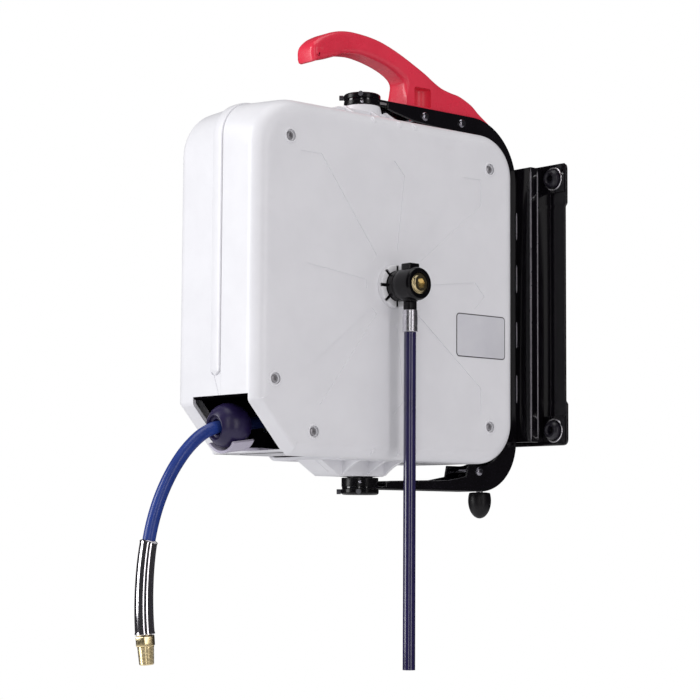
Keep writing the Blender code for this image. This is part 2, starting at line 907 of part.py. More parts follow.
def flange_outline():
    """The whole flange in (y, z): the strip's outer line and the free edge."""
    outer = [point for point in web_path(0.0) if point[0] > FLANGE_START]
    outer = [(FLANGE_START, ARM_Z)] + outer + [(FLANGE_START, -ARM_Z)]
    return outer + flange_inner()


def make_bracket(surface):
    """The C bracket: strip, two flanges and round ends, with its holes."""

    def world(points):
        return [(y + HUB_Y, z + HUB_Z) for y, z in points]

    half = ARM_W / 2
    web = web_path(0.0) + list(reversed(web_path(STEEL)))
    bracket = finish("swivel_bracket", prism(world(web), -half, half, "X"), surface)
    for name, low, high in (
        ("bracket_near_flange", half - STEEL, half),
        ("bracket_far_flange", -half, -half + STEEL),
    ):
        flange = prism(world(flange_outline()), low, high, "X")
        boolean(bracket, helper(name, flange), "UNION")
    ends, bores = [], []
    for end in (1, -1):
        low, high = end * (ARM_Z - STEEL) + HUB_Z, end * ARM_Z + HUB_Z
        centre = (0.0, PIVOT_Y + HUB_Y)
        ends.append(cylinder(half + 0.001, low, high, "Z", centre, 28))
        bores.append(
            cylinder(PIN_R + RUN, low - end * 0.01, high + end * 0.01, "Z", centre, 24)
        )
    boolean(bracket, helper("bracket_ends", joined(*ends)), "UNION")
    slot = box(
        hub(-TONGUE_T / 2 - RUN, TONGUE_SPAN[0] - RUN, ARM_Z - 2 * STEEL),
        hub(TONGUE_T / 2 + RUN, TONGUE_SPAN[1] + RUN, ARM_Z + STEEL),
    )
    boolean(bracket, helper("bracket_tongue_slot", slot), "DIFFERENCE")
    for y, z in bolt_places():
        at = hub(0, y, z)
        bores.append(cylinder(BOLT_R + FIT, -0.03, 0.03, "X", (at.y, at.z), 12))
    stud = cylinder(
        STUD_R + FIT, HUB_Z - ARM_Z - 0.01, HUB_Z - ARM_Z + 0.012, "Z", (0, KNOB_Y + HUB_Y), 18
    )
    bores.append(stud)
    boolean(bracket, helper("bracket_bores", joined(*bores)), "DIFFERENCE")
    return bracket


def bolt_places():
    """Where bolts cross the bracket, in (y, z)."""
    drop = ARM_Z - HANDLE_BOLT_DROP
    return [(y, drop) for y in HANDLE_BOLTS] + [CORNER_BOLT]


def make_cross_bolts(surface):
    """The bolts across the bracket, each with its nut as one piece."""
    half = ARM_W / 2 + FIT
    profile = (
        (-half - BOLT_HEAD_H, 0.0),
        (-half - BOLT_HEAD_H, BOLT_HEAD_R),
        (-half, BOLT_HEAD_R),
        (-half, BOLT_R),
        (half, BOLT_R),
        (half, BOLT_HEAD_R),
        (half + BOLT_HEAD_H * 0.5, BOLT_HEAD_R),
        (half + BOLT_HEAD_H, BOLT_HEAD_R * 0.55),
        (half + BOLT_HEAD_H, 0.0),
    )
    names = ("handle_bolt_front", "handle_bolt_back", "bend_bolt")
    for name, (y, z) in zip(names, bolt_places()):
        at = hub(0, y, z)
        finish(name, turned(profile, "X", (at.y, at.z), 12), surface)


# Carry handle


def handle_outline():
    """The hooked grip and its saddle, clockwise in (y, z), with the saddle's points first."""
    bend = (SPINE_Y - TOP_BEND_R, ARM_Z - TOP_BEND_R)
    saddle = arc(bend, TOP_BEND_R + FIT, SADDLE_TURN, 90, 4)
    saddle.append((SPINE_Y + SADDLE_FRONT, ARM_Z + FIT))
    grip = [(SPINE_Y + y, ARM_Z + z) for y, z in GRIP_UNDERSIDE + GRIP_TIP + GRIP_TOP]
    return saddle, grip


def handle_ring(x, inset):
    """One ring of the handle at a place across it; only the grip's edges are set in."""
    saddle, grip = handle_outline()
    points = [Vector(point) for point in saddle + grip]
    count = len(points)
    ring = []
    for i, point in enumerate(points):
        back = (point - points[i - 1]).normalized()
        on = (points[(i + 1) % count] - point).normalized()
        middle = (Vector((back.y, -back.x)) + Vector((on.y, -on.x))).normalized()
        reach = 0.0 if i < len(saddle) else inset / max(middle.dot(Vector((on.y, -on.x))), 0.5)
        ring.append(hub(x, *(point + middle * reach)))
    return ring


def make_handle(surface):
    """The carry handle with a pocket in each side and the tongue that the bolts hold."""
    levels = []
    for a in (0.0, 45.0, 90.0):
        x = GRIP_W / 2 - GRIP_EDGE * (1 - math.sin(math.radians(a)))
        levels.append((x, GRIP_EDGE * (1 - math.cos(math.radians(a)))))
    levels = [(-x, inset) for x, inset in reversed(levels)] + levels
    bm = bmesh.new()
    loft(bm, [handle_ring(x, inset) for x, inset in levels])
    handle = finish("carry_handle", bm, surface)
    pockets = []
    for side in (1, -1):
        at = hub(side * GRIP_W / 2, POCKET_Y)
        low, high = ARM_Z + POCKET_FLOOR + HUB_Z, ARM_Z + POCKET_TOP + HUB_Z
        pockets.append(cylinder(POCKET_R, low, high, "Z", (at.x, at.y), 20))
    boolean(handle, helper("handle_pockets", joined(*pockets)), "DIFFERENCE")
    tongue = box(
        hub(-TONGUE_T / 2, TONGUE_SPAN[0], ARM_Z - TONGUE_DROP),
        hub(TONGUE_T / 2, TONGUE_SPAN[1], ARM_Z + TONGUE_ROOT),
    )
    boolean(handle, helper("handle_tongue", tongue), "UNION")
    cuts = []
    for y, z in bolt_places()[:2]:
        place = hub(0, y, z)
        cuts.append(cylinder(BOLT_R + FIT, -0.02, 0.02, "X", (place.y, place.z), 14))
    boolean(handle, helper("handle_bolt_holes", joined(*cuts)), "DIFFERENCE")
    return handle


# Lock knob


def make_knob(surfaces, parent):
    """The egg-shaped knob and its stud under the lower bend."""
    drop = SPINE_Y - LOW_BEND_R
    rise = LOW_BEND_R - math.sqrt(LOW_BEND_R**2 - (KNOB_Y + 0.012 - drop) ** 2)
    web_low = -ARM_Z + rise
    neck = -ARM_Z - RUN
    centre = (0.0, KNOB_Y + HUB_Y)
    top = neck + HUB_Z
    profile = [(top, STUD_R + FIT), (top, KNOB_NECK_R), (top - KNOB_NECK * 0.5, KNOB_NECK_R)]
    egg = KNOB_L - KNOB_NECK * 0.5
    steps = 8
    for i in range(1, steps + 1):
        a = math.pi * (0.22 + 0.78 * i / steps)
        along = top - KNOB_NECK * 0.5 - egg * (math.cos(0.22 * math.pi) - math.cos(a)) / (
            1 + math.cos(0.22 * math.pi)
        )
        radius = KNOB_R * math.sin(a) if i < steps else 0.0
        profile.append((along, radius))
    profile += [(top - STUD_IN_KNOB, 0.0), (top - STUD_IN_KNOB, STUD_R + FIT)]
    finish("lock_knob", turned(profile, "Z", centre, 16), surfaces["black_plastic"], parent)
    stud = cylinder(
        STUD_R, top - STUD_IN_KNOB + FIT, web_low + STUD_UP + HUB_Z, "Z", centre, 18
    )
    finish("knob_stud", stud, surfaces["zinc"], parent)


# Wall plate


def make_wall_plate(surface):
    """The flat plate with the rail that the bracket's spine is stitched to."""
    rail_front = SPINE_Y + FIT + HUB_Y
    half_w, half_h = PLATE_W / 2, PLATE_H / 2
    corners = (
        (-half_w, -half_h, PLATE_CORNER_R),
        (half_w, -half_h, PLATE_CORNER_R),
        (half_w, half_h, PLATE_CORNER_R),
        (-half_w, half_h, PLATE_CORNER_R),
    )
    ends = rounded(corners)
    right, left = 2 * (ARC + 1), 4 * (ARC + 1)
    rise = half_h - LUG_REACH
    waist = half_w - PLATE_WAIST
    steps = ((half_w, rise), (waist, rise - PLATE_WAIST))
    up = [(x, -z) for x, z in steps] + [(x, z) for x, z in reversed(steps)]
    down = [(-x, -z) for x, z in up]
    outline = ends[:right] + up + ends[right:left] + down
    bm = prism(outline, 0.0, -PLATE_T, "Y")
    plate = finish("wall_plate", bm, surface)
    outer = (
        (-RAIL_HALF_W - 0.006, -PLATE_T + 0.001),
        (-RAIL_HALF_W, -PLATE_T - 0.006),
        (-RAIL_HALF_W, rail_front + 0.002),
        (-RAIL_HALF_W + 0.002, rail_front),
        (RAIL_HALF_W - 0.002, rail_front),
        (RAIL_HALF_W, rail_front + 0.002),
        (RAIL_HALF_W, -PLATE_T - 0.006),
        (RAIL_HALF_W + 0.006, -PLATE_T + 0.001),
    )
    inside = RAIL_HALF_W - RAIL_T
    hollow = (
        (-inside, rail_front + RAIL_T),
        (inside, rail_front + RAIL_T),
        (inside, -PLATE_T - 0.0001),
        (-inside, -PLATE_T - 0.0001),
    )
    rail = prism(outer, -half_h, half_h, "Z")
    boolean(plate, helper("plate_rail", rail), "UNION")
    cut = prism(hollow, -half_h - 0.01, half_h + 0.01, "Z")
    boolean(plate, helper("plate_rail_hollow", cut), "DIFFERENCE")
    pads, holes = [], []
    for x, z in lug_places():
        pad = LUG_PAD / 2
        low = (x - pad, -PLATE_T - LUG_PAD_T, z - pad)
        pads.append(box(low, (x + pad, -PLATE_T + 0.001, z + pad)))
        holes.append(cylinder(LUG_HOLE_R, -0.02, 0.01, "Y", (x, z), 14))
    boolean(plate, helper("plate_lug_pads", joined(*pads)), "UNION")
    boolean(plate, helper("plate_lug_holes", joined(*holes)), "DIFFERENCE")
    boolean(plate, helper("plate_welds", welds()), "UNION")
    return plate


def lug_places():
    """The four corner fixings of the wall plate, in (x, z)."""
    return [(sx * LUG_X, sz * LUG_Z) for sx in (1, -1) for sz in (1, -1)]


def welds():
    """The short weld beads beside the bracket's spine."""
    rail_front = SPINE_Y + FIT + HUB_Y
    beads = []
    for side in (1, -1):
        for i in range(WELD_COUNT):
            z = (i - (WELD_COUNT - 1) / 2) * WELD_PITCH
            centre = (side * (RAIL_HALF_W - 0.0002), rail_front + 0.0012)
            low, high = z - WELD_LENGTH / 2, z + WELD_LENGTH / 2
            beads.append(cylinder(WELD_R, low, high, "Z", centre, 8))
    return joined(*beads)


def make_grommets(surface):
    """The rubber bushes in the corner fixings of the wall plate."""
    front = -PLATE_T - LUG_PAD_T
    profile = (
        (-0.0002, GROMMET_HOLE_R),
        (-0.0002, LUG_HOLE_R - FIT),
        (front - FIT, LUG_HOLE_R - FIT),
        (front - FIT, GROMMET_R),
        (front - FIT - GROMMET_LIP * 0.6, GROMMET_R),
        (front - FIT - GROMMET_LIP, GROMMET_R - 0.002),
        (front - FIT - GROMMET_LIP, GROMMET_HOLE_R),
    )
    for i, (x, z) in enumerate(lug_places(), 1):
        finish(f"plate_grommet_{i}", turned(profile, "Y", (x, z), 14), surface)


# Drum


def make_drum(surfaces, parent):
    """The drum: shaft, core, two side plates, the wound hose and the ratchet wheel."""
    at = hub()
    centre = (at.y, at.z)
    half = DRUM_W / 2
    core = (
        (SEAM_X - half + FIT, CORE_R - CORE_WALL),
        (SEAM_X + half - FIT, CORE_R - CORE_WALL),
        (SEAM_X + half - FIT, CORE_R),
        (SEAM_X - half + FIT, CORE_R),
    )
    finish("drum_core", turned(core, "X", centre, DRUM_FACETS), surfaces["zinc"], parent)
    coil = (
        (SEAM_X - half + 2 * FIT, CORE_R + FIT),
        (SEAM_X + half - 2 * FIT, CORE_R + FIT),
        (SEAM_X + half - 2 * FIT, COIL_R - 0.004),
        (SEAM_X + half - 0.004, COIL_R),
        (SEAM_X - half + 0.004, COIL_R),
        (SEAM_X - half + 2 * FIT, COIL_R - 0.004),
    )
    finish("hose_coil", turned(coil, "X", centre, DRUM_FACETS), surfaces["hose"], parent)
    for side, name in ((1, "right_drum_plate"), (-1, "left_drum_plate")):
        inner = SEAM_X + side * half
        outer = inner + side * DRUM_SHEET
        lip = inner + side * DRUM_RIM
        profile = (
            (inner, SHAFT_R + FIT),
            (inner, DRUM_R - 0.004),
            (lip, DRUM_R),
            (lip + side * DRUM_SHEET, DRUM_R),
            (lip + side * DRUM_SHEET, DRUM_R - 0.003),
            (outer, DRUM_R - 0.008),
            (outer, SHAFT_R + FIT),
        )
        finish(name, turned(profile, "X", centre, DRUM_FACETS), surfaces["zinc"], parent)
    left = -CASE_T / 2 + WALL + RUN
    step = CASE_T / 2 - WALL - BEARING_L - FIT
    nose = FEED_X + SWIVEL_L / 2 - 0.004
    shaft = (
        (left, SHAFT_BORE_R),
        (left, SHAFT_R),
        (step, SHAFT_R),
        (step, SHAFT_NOSE_R),
        (nose, SHAFT_NOSE_R),
        (nose, 0.0),
        (nose - 0.01, 0.0),
        (nose - 0.01, SHAFT_BORE_R),
    )
    finish("main_shaft", turned(shaft, "X", centre, 20), surfaces["zinc"], parent)
    elbow = cylinder(
        ELBOW_R, at.y - CORE_R + CORE_WALL + 2 * RUN, at.y - SHAFT_R - FIT, "Y", (SEAM_X, at.z), 18
    )
    finish("drum_elbow", elbow, surfaces["brass"], parent)
    make_ratchet(surfaces["spring_steel"], parent)
    plug_start = nose + FIT
    plug = (
        (plug_start, 0.0),
        (plug_start, PLUG_R - 0.001),
        (plug_start + 0.001, PLUG_R),
        (plug_start + PLUG_H - 0.0015, PLUG_R),
        (plug_start + PLUG_H, PLUG_R - 0.0015),
        (plug_start + PLUG_H, 0.0),
    )
    plug_obj = finish("inlet_plug", turned(plug, "X", centre, 24), surfaces["brass"], parent)
    end = plug_start + PLUG_H
    hexagon = prism(circle(PLUG_HEX, 6, centre), end - PLUG_HEX_DEPTH, end + 0.01, "X")
    boolean(plug_obj, helper("inlet_plug_socket", hexagon), "DIFFERENCE")
    arbor_low = -CASE_T / 2 + WALL + SPRING_CASE_T + 3 * FIT
    arbor_high = -CASE_T / 2 + WALL + SPRING_CASE_W - SPRING_CASE_T - 2 * FIT
    arbor_low += BEARING_L
    arbor = (
        (arbor_low, SHAFT_R + FIT),
        (arbor_low, ARBOR_R),
        (arbor_high, ARBOR_R),
        (arbor_high, SHAFT_R + FIT),
    )
    finish("spring_arbor", turned(arbor, "X", centre, 28), surfaces["zinc"], parent)


def make_ratchet(surface, parent):
    """The ratchet wheel on the drum's right side plate."""
    at = hub()
    low = SEAM_X + DRUM_W / 2 + DRUM_SHEET + FIT
    outline = []
    for i in range(RATCHET_TEETH):
        a = math.tau * i / RATCHET_TEETH
        step = math.tau / RATCHET_TEETH
        outline.append((RATCHET_R * math.cos(a), RATCHET_R * math.sin(a)))
        root = RATCHET_R - TOOTH_H
        outline.append((root * math.cos(a + 0.06), root * math.sin(a + 0.06)))
        middle = a + step * 0.55
        mid_r = RATCHET_R - TOOTH_H * 0.45
        outline.append((mid_r * math.cos(middle), mid_r * math.sin(middle)))
    outline = [(y + at.y, z + at.z) for y, z in outline]
    wheel = finish("ratchet_wheel", prism(outline, low, low + RATCHET_T, "X"), surface, parent)
    clear = BEARING_R + BEARING_WALL + RUN
    bore = cylinder(clear, low - 0.01, low + RATCHET_T + 0.01, "X", (at.y, at.z), 32)
    boolean(wheel, helper("ratchet_bore", bore), "DIFFERENCE")


def pawl_place():
    """The pawl's pin, in (y, z) from the drum's centre, and the pawl's direction."""
    a = math.radians(PAWL_ANGLE)
    tip_r = RATCHET_R + PAWL_GAP
    tip = Vector((tip_r * math.cos(a), tip_r * math.sin(a)))
    along = Vector((-math.sin(a), math.cos(a)))
    lift = Vector((math.cos(a), math.sin(a)))
    pin = tip - along * PAWL_L + lift * PAWL_W * 0.9
    return pin, (tip - pin).normalized(), tip


def pawl_levels():
    """Where the ratchet wheel lies across the housing."""
    low = SEAM_X + DRUM_W / 2 + DRUM_SHEET + FIT
    return low, low + RATCHET_T


def make_pawl(surfaces, parent, housing):
    """The pawl, its pin in the right shell and its leaf spring."""
    pin, direction, tip = pawl_place()
    low, high = pawl_levels()
    across = Vector((direction.y, -direction.x))
    nose = [tip, tip + across * 0.004]
    outline = [tip]
    start = math.degrees(math.atan2(-across.y, -across.x))
    heel = arc((pin.x, pin.y), PAWL_W / 2, start, start + 180, 8)
    outline += [Vector(point) for point in heel]
    outline.append(nose[1])
    points = [(p.x + HUB_Y, p.y + HUB_Z) for p in outline]
    pawl = finish("pawl", prism(points, low, high, "X"), surfaces["spring_steel"], parent)
    at = (pin.x + HUB_Y, pin.y + HUB_Z)
    bore = cylinder(PAWL_PIN_R + RUN, low - 0.01, high + 0.01, "X", at, 16)
    boolean(pawl, helper("pawl_bore", bore), "DIFFERENCE")
    wall = CASE_T / 2 - WALL - FIT
    profile = (
        (low, 0.0),
        (low, PAWL_PIN_R),
        (high + FIT, PAWL_PIN_R),
        (high + FIT, PAWL_PIN_R + 0.003),
        (wall, PAWL_PIN_R + 0.003),
        (wall, 0.0),
    )
    finish("pawl_pin", turned(profile, "X", at, 18), surfaces["zinc"], housing)


def make_spring(surfaces, housing):
    """The rewind spring in its case on the left shell."""
    at = hub()
    centre = (at.y, at.z)
    wall = -CASE_T / 2 + WALL + FIT
    inner_r = BEARING_R + BEARING_WALL + RUN
    front = wall + SPRING_CASE_W
    case = (
        (wall, inner_r),
        (wall, SPRING_CASE_R),
        (front, SPRING_CASE_R),
        (front, SPRING_CASE_R - SPRING_CASE_T),
        (wall + SPRING_CASE_T, SPRING_CASE_R - SPRING_CASE_T),
        (wall + SPRING_CASE_T, inner_r),
    )
    finish("spring_case", turned(case, "X", centre, 28), surfaces["black_steel"], housing)
    cover = (
        (front + FIT, ARBOR_R + RUN),
        (front + FIT, SPRING_CASE_R),
        (front + FIT + SPRING_CASE_T, SPRING_CASE_R),
        (front + FIT + SPRING_CASE_T, ARBOR_R + RUN),
    )
    finish("spring_cover", turned(cover, "X", centre, 28), surfaces["black_steel"], housing)
    low = wall + SPRING_CASE_T + RUN
    high = front - RUN
    steps = SPRING_TURNS * 12
    outside, inside = [], []
    for i in range(steps + 1):
        share = i / steps
        a = share * SPRING_TURNS * math.tau
        r = SPRING_IN_R + (SPRING_OUT_R - SPRING_IN_R) * share
        outside.append((r * math.cos(a), r * math.sin(a)))
        inside.append(((r - SPRING_STRIP) * math.cos(a), (r - SPRING_STRIP) * math.sin(a)))
    outline = [(y + at.y, z + at.z) for y, z in outside + list(reversed(inside))]
    finish("power_spring", prism(outline, low, high, "X"), surfaces["spring_steel"], housing)


# Inlet


def make_hub_ring(surfaces, housing):
    """The notched ring on the inlet side and the star washer in its notches."""
    at = hub()
    centre = (at.y, at.z)
    face = CASE_T / 2 + FIT
    ring = (
        (face, HUB_RING_IN_R),
        (face, HUB_RING_R),
        (face + HUB_RING_H - 0.0015, HUB_RING_R),
        (face + HUB_RING_H, HUB_RING_R - 0.0015),
        (face + HUB_RING_H, HUB_RING_IN_R),
    )
    ring_obj = finish("hub_ring", turned(ring, "X", centre), surfaces["shell"], housing)
    floor = face + HUB_RING_H - HUB_NOTCH_DEPTH
    notches, tabs = [], []
    for i in range(4):
        for half_w, reach, low, high, made in (
            (HUB_NOTCH_W / 2, HUB_RING_R + 0.01, floor, floor + 0.02, notches),
            (STAR_TAB_W / 2, STAR_TAB_R, floor + FIT, floor + 0.0022, tabs),
        ):
            bar = prism(
                ((-reach, -half_w), (reach, -half_w), (reach, half_w), (-reach, half_w)),
                low,
                high,
                "X",
            )
            turned_about(bar, 45.0 * i, "X", (0, 0, 0))
            made.append(moved(bar, Vector((0, at.y, at.z))))
    boolean(ring_obj, helper("hub_ring_notches", joined(*notches)), "DIFFERENCE")
    disc = cylinder(HUB_RING_IN_R - FIT, face, floor + 0.0022, "X", centre, 32)
    star = finish("star_washer", disc, surfaces["black_plastic"], housing)
    for i, tab in enumerate(tabs, 1):
        boolean(star, helper(f"star_washer_tab_{i}", tab), "UNION")
    bore = cylinder(SHAFT_NOSE_R + RUN, face - 0.01, floor + 0.02, "X", centre, 24)
    boolean(star, helper("star_washer_bore", bore), "DIFFERENCE")


def make_inlet(surfaces, parent):
    """The swivel body, nut, ferrule and the hanging feed hose."""
    at = hub()
    centre = (at.y, at.z)
    low = CASE_T / 2 + FIT + HUB_RING_H - HUB_NOTCH_DEPTH + 0.0022 + RUN
    high = FEED_X + SWIVEL_L / 2 - 0.004 - FIT
    bore_r = SHAFT_NOSE_R + RUN
    body = (
        (low, bore_r),
        (low, SWIVEL_R - 0.002),
        (low + 0.003, SWIVEL_R),
        (high - 0.003, SWIVEL_R),
        (high, SWIVEL_R - 0.002),
        (high, bore_r),
    )
    swivel = finish(
        "swivel_body", turned(body, "X", centre), surfaces["black_plastic"], parent
    )
    stem_top = at.z - SHAFT_NOSE_R - 0.003
    stem = cylinder(
        SWIVEL_STEM_R, at.z - SWIVEL_STEM_DOWN - 0.004, stem_top, "Z", (FEED_X, at.y), 28
    )
    boolean(swivel, helper("swivel_stem", stem), "UNION")
    cap = box(
        (FEED_X - SWIVEL_CAP_W / 2, at.y - SWIVEL_CAP_W / 2, at.z + SHAFT_NOSE_R + 0.003),
        (FEED_X + SWIVEL_CAP_W / 2, at.y + SWIVEL_CAP_W / 2, at.z + SWIVEL_CAP),
    )
    boolean(swivel, helper("swivel_cap", cap), "UNION")
    nut_top = at.z - SWIVEL_STEM_DOWN - 0.004 - FIT
    nut = prism(
        circle(NUT_AF / math.sqrt(3), 6, (FEED_X, at.y), math.radians(15)),
        nut_top - NUT_H,
        nut_top,
        "Z",
    )
    finish("hose_nut", nut, surfaces["black_steel"], parent, smooth=False)
    ferrule_top = nut_top - NUT_H - FIT
    ferrule_low = ferrule_top - FERRULE_L
    ferrule = (
        (ferrule_top, HOSE_BORE_R),
        (ferrule_top, FERRULE_R),
        (ferrule_low, FERRULE_R),
        (ferrule_low, HOSE_BORE_R),
    )
    finish(
        "feed_ferrule", turned(ferrule, "Z", (FEED_X, at.y), 28), surfaces["chrome"], parent
    )
    steps = 14
    start, end = ferrule_low - FIT, FEED_END + HUB_Z
    points = [(FEED_X, at.y, start + (end - start) * i / steps) for i in range(steps + 1)]
    make_hose("feed_hose", points, surfaces["feed_hose"], parent)


def make_hose(name, points, surface, parent):
    """A plain hose along its route, as a bevelled curve with filled ends."""
    curve = bpy.data.curves.new(name, "CURVE")
    curve.dimensions = "3D"
    curve.bevel_depth = HOSE_R
    curve.bevel_resolution = 3
    curve.use_fill_caps = True
    spline = curve.splines.new("POLY")
    spline.points.add(len(points) - 1)
    for point, place in zip(spline.points, points):
        point.co = (*place, 1.0)
    spline.use_smooth = True
    curve.materials.append(surface)
    obj = bpy.data.objects.new(name, curve)
    bpy.context.scene.collection.objects.link(obj)
    obj.parent = parent
    obj.matrix_parent_inverse = Matrix.Translation(parent.location).inverted()
    return obj


# Outlet


def tail_direction():
    """The straight run from the ball stop back to the coil, and its length."""
    y, z = BALL_AT
    reach = math.hypot(y, z)
    rest = COIL_R + HOSE_R + FIT
    slope = math.atan2(-z, -y) - math.asin(rest / reach)
    length = math.sqrt(reach**2 - rest**2)
    return Vector((0.0, math.cos(slope), math.sin(slope))), length


def tube(rings_out, rings_in):
    """A hollow tube between outer and inner rings."""
    bm = bmesh.new()
    rings = list(rings_out) + list(reversed(rings_in))
    loops = [[bm.verts.new(point) for point in ring] for ring in rings]
    total = len(loops)
    for k in range(total):
        low, high = loops[k], loops[(k + 1) % total]
        count = len(low)
        for i in range(count):
            j = (i + 1) % count
            bm.faces.new((low[i], low[j], high[j], high[i]))
    return bm


def frame_ring(place, direction, radius, count=20):
    """A ring of points round a route that lies in a plane of constant x."""
    across = Vector((1.0, 0.0, 0.0))
    normal = direction.cross(across).normalized()
    return [
        place
        + across * (radius * math.cos(math.tau * i / count))
        + normal * (radius * math.sin(math.tau * i / count))
        for i in range(count)
    ]


def route_points():
    """The outlet hose's route in world coordinates."""
    ball_y, ball_z = BALL_AT
    return [hub(SEAM_X, ball_y + y, ball_z + z) for y, z in OUTLET_RUN]


def route_direction(points, i):
    """The direction of a route at one of its points."""
    low, high = max(i - 1, 0), min(i + 1, len(points) - 1)
    return (points[high] - points[low]).normalized()


def make_outlet(surfaces, parent):
    """The ball stop, tail, outlet hose, bend sleeve and end fitting."""
    inward, length = tail_direction()
    ball = hub(SEAM_X, *BALL_AT)
    bm = bmesh.new()
    bmesh.ops.create_uvsphere(bm, u_segments=18, v_segments=12, radius=BALL_R)
    slope = math.degrees(math.atan2(inward.z, inward.y))
    ball_obj = finish("ball_stop", moved(bm, ball), surfaces["rubber"], parent)
    bore = cylinder(HOSE_R + FIT, -2 * BALL_R, 2 * BALL_R, "Y", count=24)
    turned_about(moved(bore, ball), slope, "X", ball)
    boolean(ball_obj, helper("ball_bore", bore), "DIFFERENCE")
    cup = (
        (-BALL_R - 0.002, 0.0),
        (-BALL_R - 0.002, BALL_CUP_R),
        (-BALL_R + BALL_CUP_DEPTH, HOSE_R + 0.001),
        (-BALL_R + BALL_CUP_DEPTH, 0.0),
    )
    cup_bm = turned(cup, "Y", (0.0, 0.0), 24)
    turned_about(moved(cup_bm, ball), slope, "X", ball)
    boolean(ball_obj, helper("ball_cup", cup_bm), "DIFFERENCE")
    tail = turned(
        ((0.0005, 0.0), (0.0005, HOSE_R), (length, HOSE_R), (length, 0.0)), "Y", count=20
    )
    turned_about(moved(tail, ball), slope, "X", ball)
    finish("hose_tail", tail, surfaces["hose"], parent)
    points = route_points()
    make_hose("outlet_hose", points, surfaces["hose"], parent)
    make_sleeve(points, surfaces["chrome"], parent)
    make_fitting(points, surfaces["brass"], parent)


def make_sleeve(points, surface, parent):
    """The polished bend guard round the hose's end, which widens downwards."""
    travelled = [0.0]
    for a, b in zip(points, points[1:]):
        travelled.append(travelled[-1] + (b - a).length)
    first = next(i for i, at in enumerate(travelled) if at > SLEEVE_START)
    outer, inner = [], []
    total = travelled[-1] - travelled[first]
    for i in range(first, len(points)):
        share = (travelled[i] - travelled[first]) / total
        direction = route_direction(points, i)
        place = points[i]
        if i == len(points) - 1:
            place = points[i] + direction * FIT
        radius = SLEEVE_TOP_R + (SLEEVE_END_R - SLEEVE_TOP_R) * share
        outer.append(frame_ring(place, direction, radius, 12))
        inner.append(frame_ring(place, direction, HOSE_R + 2 * FIT, 12))
    finish("bend_sleeve", tube(outer, inner), surface, parent)


def make_fitting(points, surface, parent):
    """The brass end fitting: a hexagon and a tapered male thread."""
    direction = route_direction(points, len(points) - 1)
    start = points[-1] + direction * (3 * FIT)
    tilt = math.degrees(math.atan2(direction.y, -direction.z))

    def placed(bm):
        return turned_about(moved(bm, start), tilt, "X", start)

    hexagon = prism(circle(HEX_AF / math.sqrt(3), 6, start=0.3), -HEX_H, 0.0, "Z")
    fitting = finish("outlet_fitting", placed(hexagon), surface, parent)
    thread = (
        (-HEX_H + 0.002, 0.0),
        (-HEX_H + 0.002, THREAD_R),
        (-HEX_H - THREAD_H * 0.7, THREAD_R - 0.0003),
        (-HEX_H - THREAD_H, THREAD_END_R),
        (-HEX_H - THREAD_H, 0.0),
    )
    boolean(fitting, helper("fitting_thread", placed(turned(thread, "Z", count=24))), "UNION")
    bore = cylinder(HOSE_BORE_R, -0.05, 0.01, "Z", count=16)
    boolean(fitting, helper("fitting_bore", placed(bore)), "DIFFERENCE")


def make_mouth(surfaces, housing):
    """The guide box behind the mouth and the collar that cradles the ball stop."""
    front, low = -CASE_L / 2, -CASE_H / 2
    top = low + CHAMFER_RISE - MOUTH_LIP
    back = front + CHAMFER_RUN - MOUTH_LIP
    left, right = mouth_span()
    outer = (
        (front + MOUTH_LIP, top - FIT),
        (front + GUIDE_ROOF, top - FIT),
        (back + GUIDE_BACK, low + GUIDE_RISE),
        (back + GUIDE_BACK, low + WALL + GUIDE_LIFT),
    )
    t = GUIDE_T
    inner = (
        (outer[3][0] - t, outer[3][1]),
        (outer[2][0] - t, outer[2][1] + t * 0.3),
        (outer[1][0] - t * 0.4, outer[1][1] - t),
        (outer[0][0], outer[0][1] - t),
    )
    outline = [(y + HUB_Y, z + HUB_Z) for y, z in outer + inner]
    bm = prism(outline, left + FIT, right - FIT, "X")
    guide = finish("mouth_guide", bm, surfaces["black_plastic"], housing)
    inward, _ = tail_direction()
    ball = hub(SEAM_X, *BALL_AT)
    slope = math.degrees(math.atan2(inward.z, inward.y))
    half = GUIDE_SLOT_W / 2
    slot = box((-half, 0.0, -half * 1.3), (half, GUIDE_SLOT_L, half * 1.3))
    turned_about(moved(slot, ball), slope, "X", ball)
    boolean(guide, helper("guide_slot", slot), "DIFFERENCE")
    make_collar(surfaces["shell"], housing)


def make_collar(surface, housing):
    """The half ring under the ball stop, with the tongue that seats it in the shells."""
    ball = hub(SEAM_X, *BALL_AT)
    start = -90 - COLLAR_SWEEP / 2
    outer = arc((0, 0), COLLAR_R + COLLAR_T, start, start + COLLAR_SWEEP, 20)
    inner = arc((0, 0), COLLAR_R, start + COLLAR_SWEEP, start, 20)
    bm = prism(outer + inner, -COLLAR_L * 0.35, COLLAR_L * 0.65, "Y")
    turned_about(moved(bm, ball), COLLAR_TILT, "X", ball)
    collar = finish("mouth_collar", bm, surface, housing)
    floor = -CASE_H / 2 + WALL + COLLAR_TONGUE_LIFT
    guide_face = -CASE_L / 2 + CHAMFER_RUN - MOUTH_LIP + GUIDE_BACK - GUIDE_T
    half = COLLAR_TONGUE_W / 2
    tongue = box(
        hub(SEAM_X - half, BALL_AT[0] + 0.0145, floor),
        hub(SEAM_X + half, guide_face - FIT, floor + COLLAR_TONGUE_T),
    )
    boolean(collar, helper("collar_tongue", tongue), "UNION")


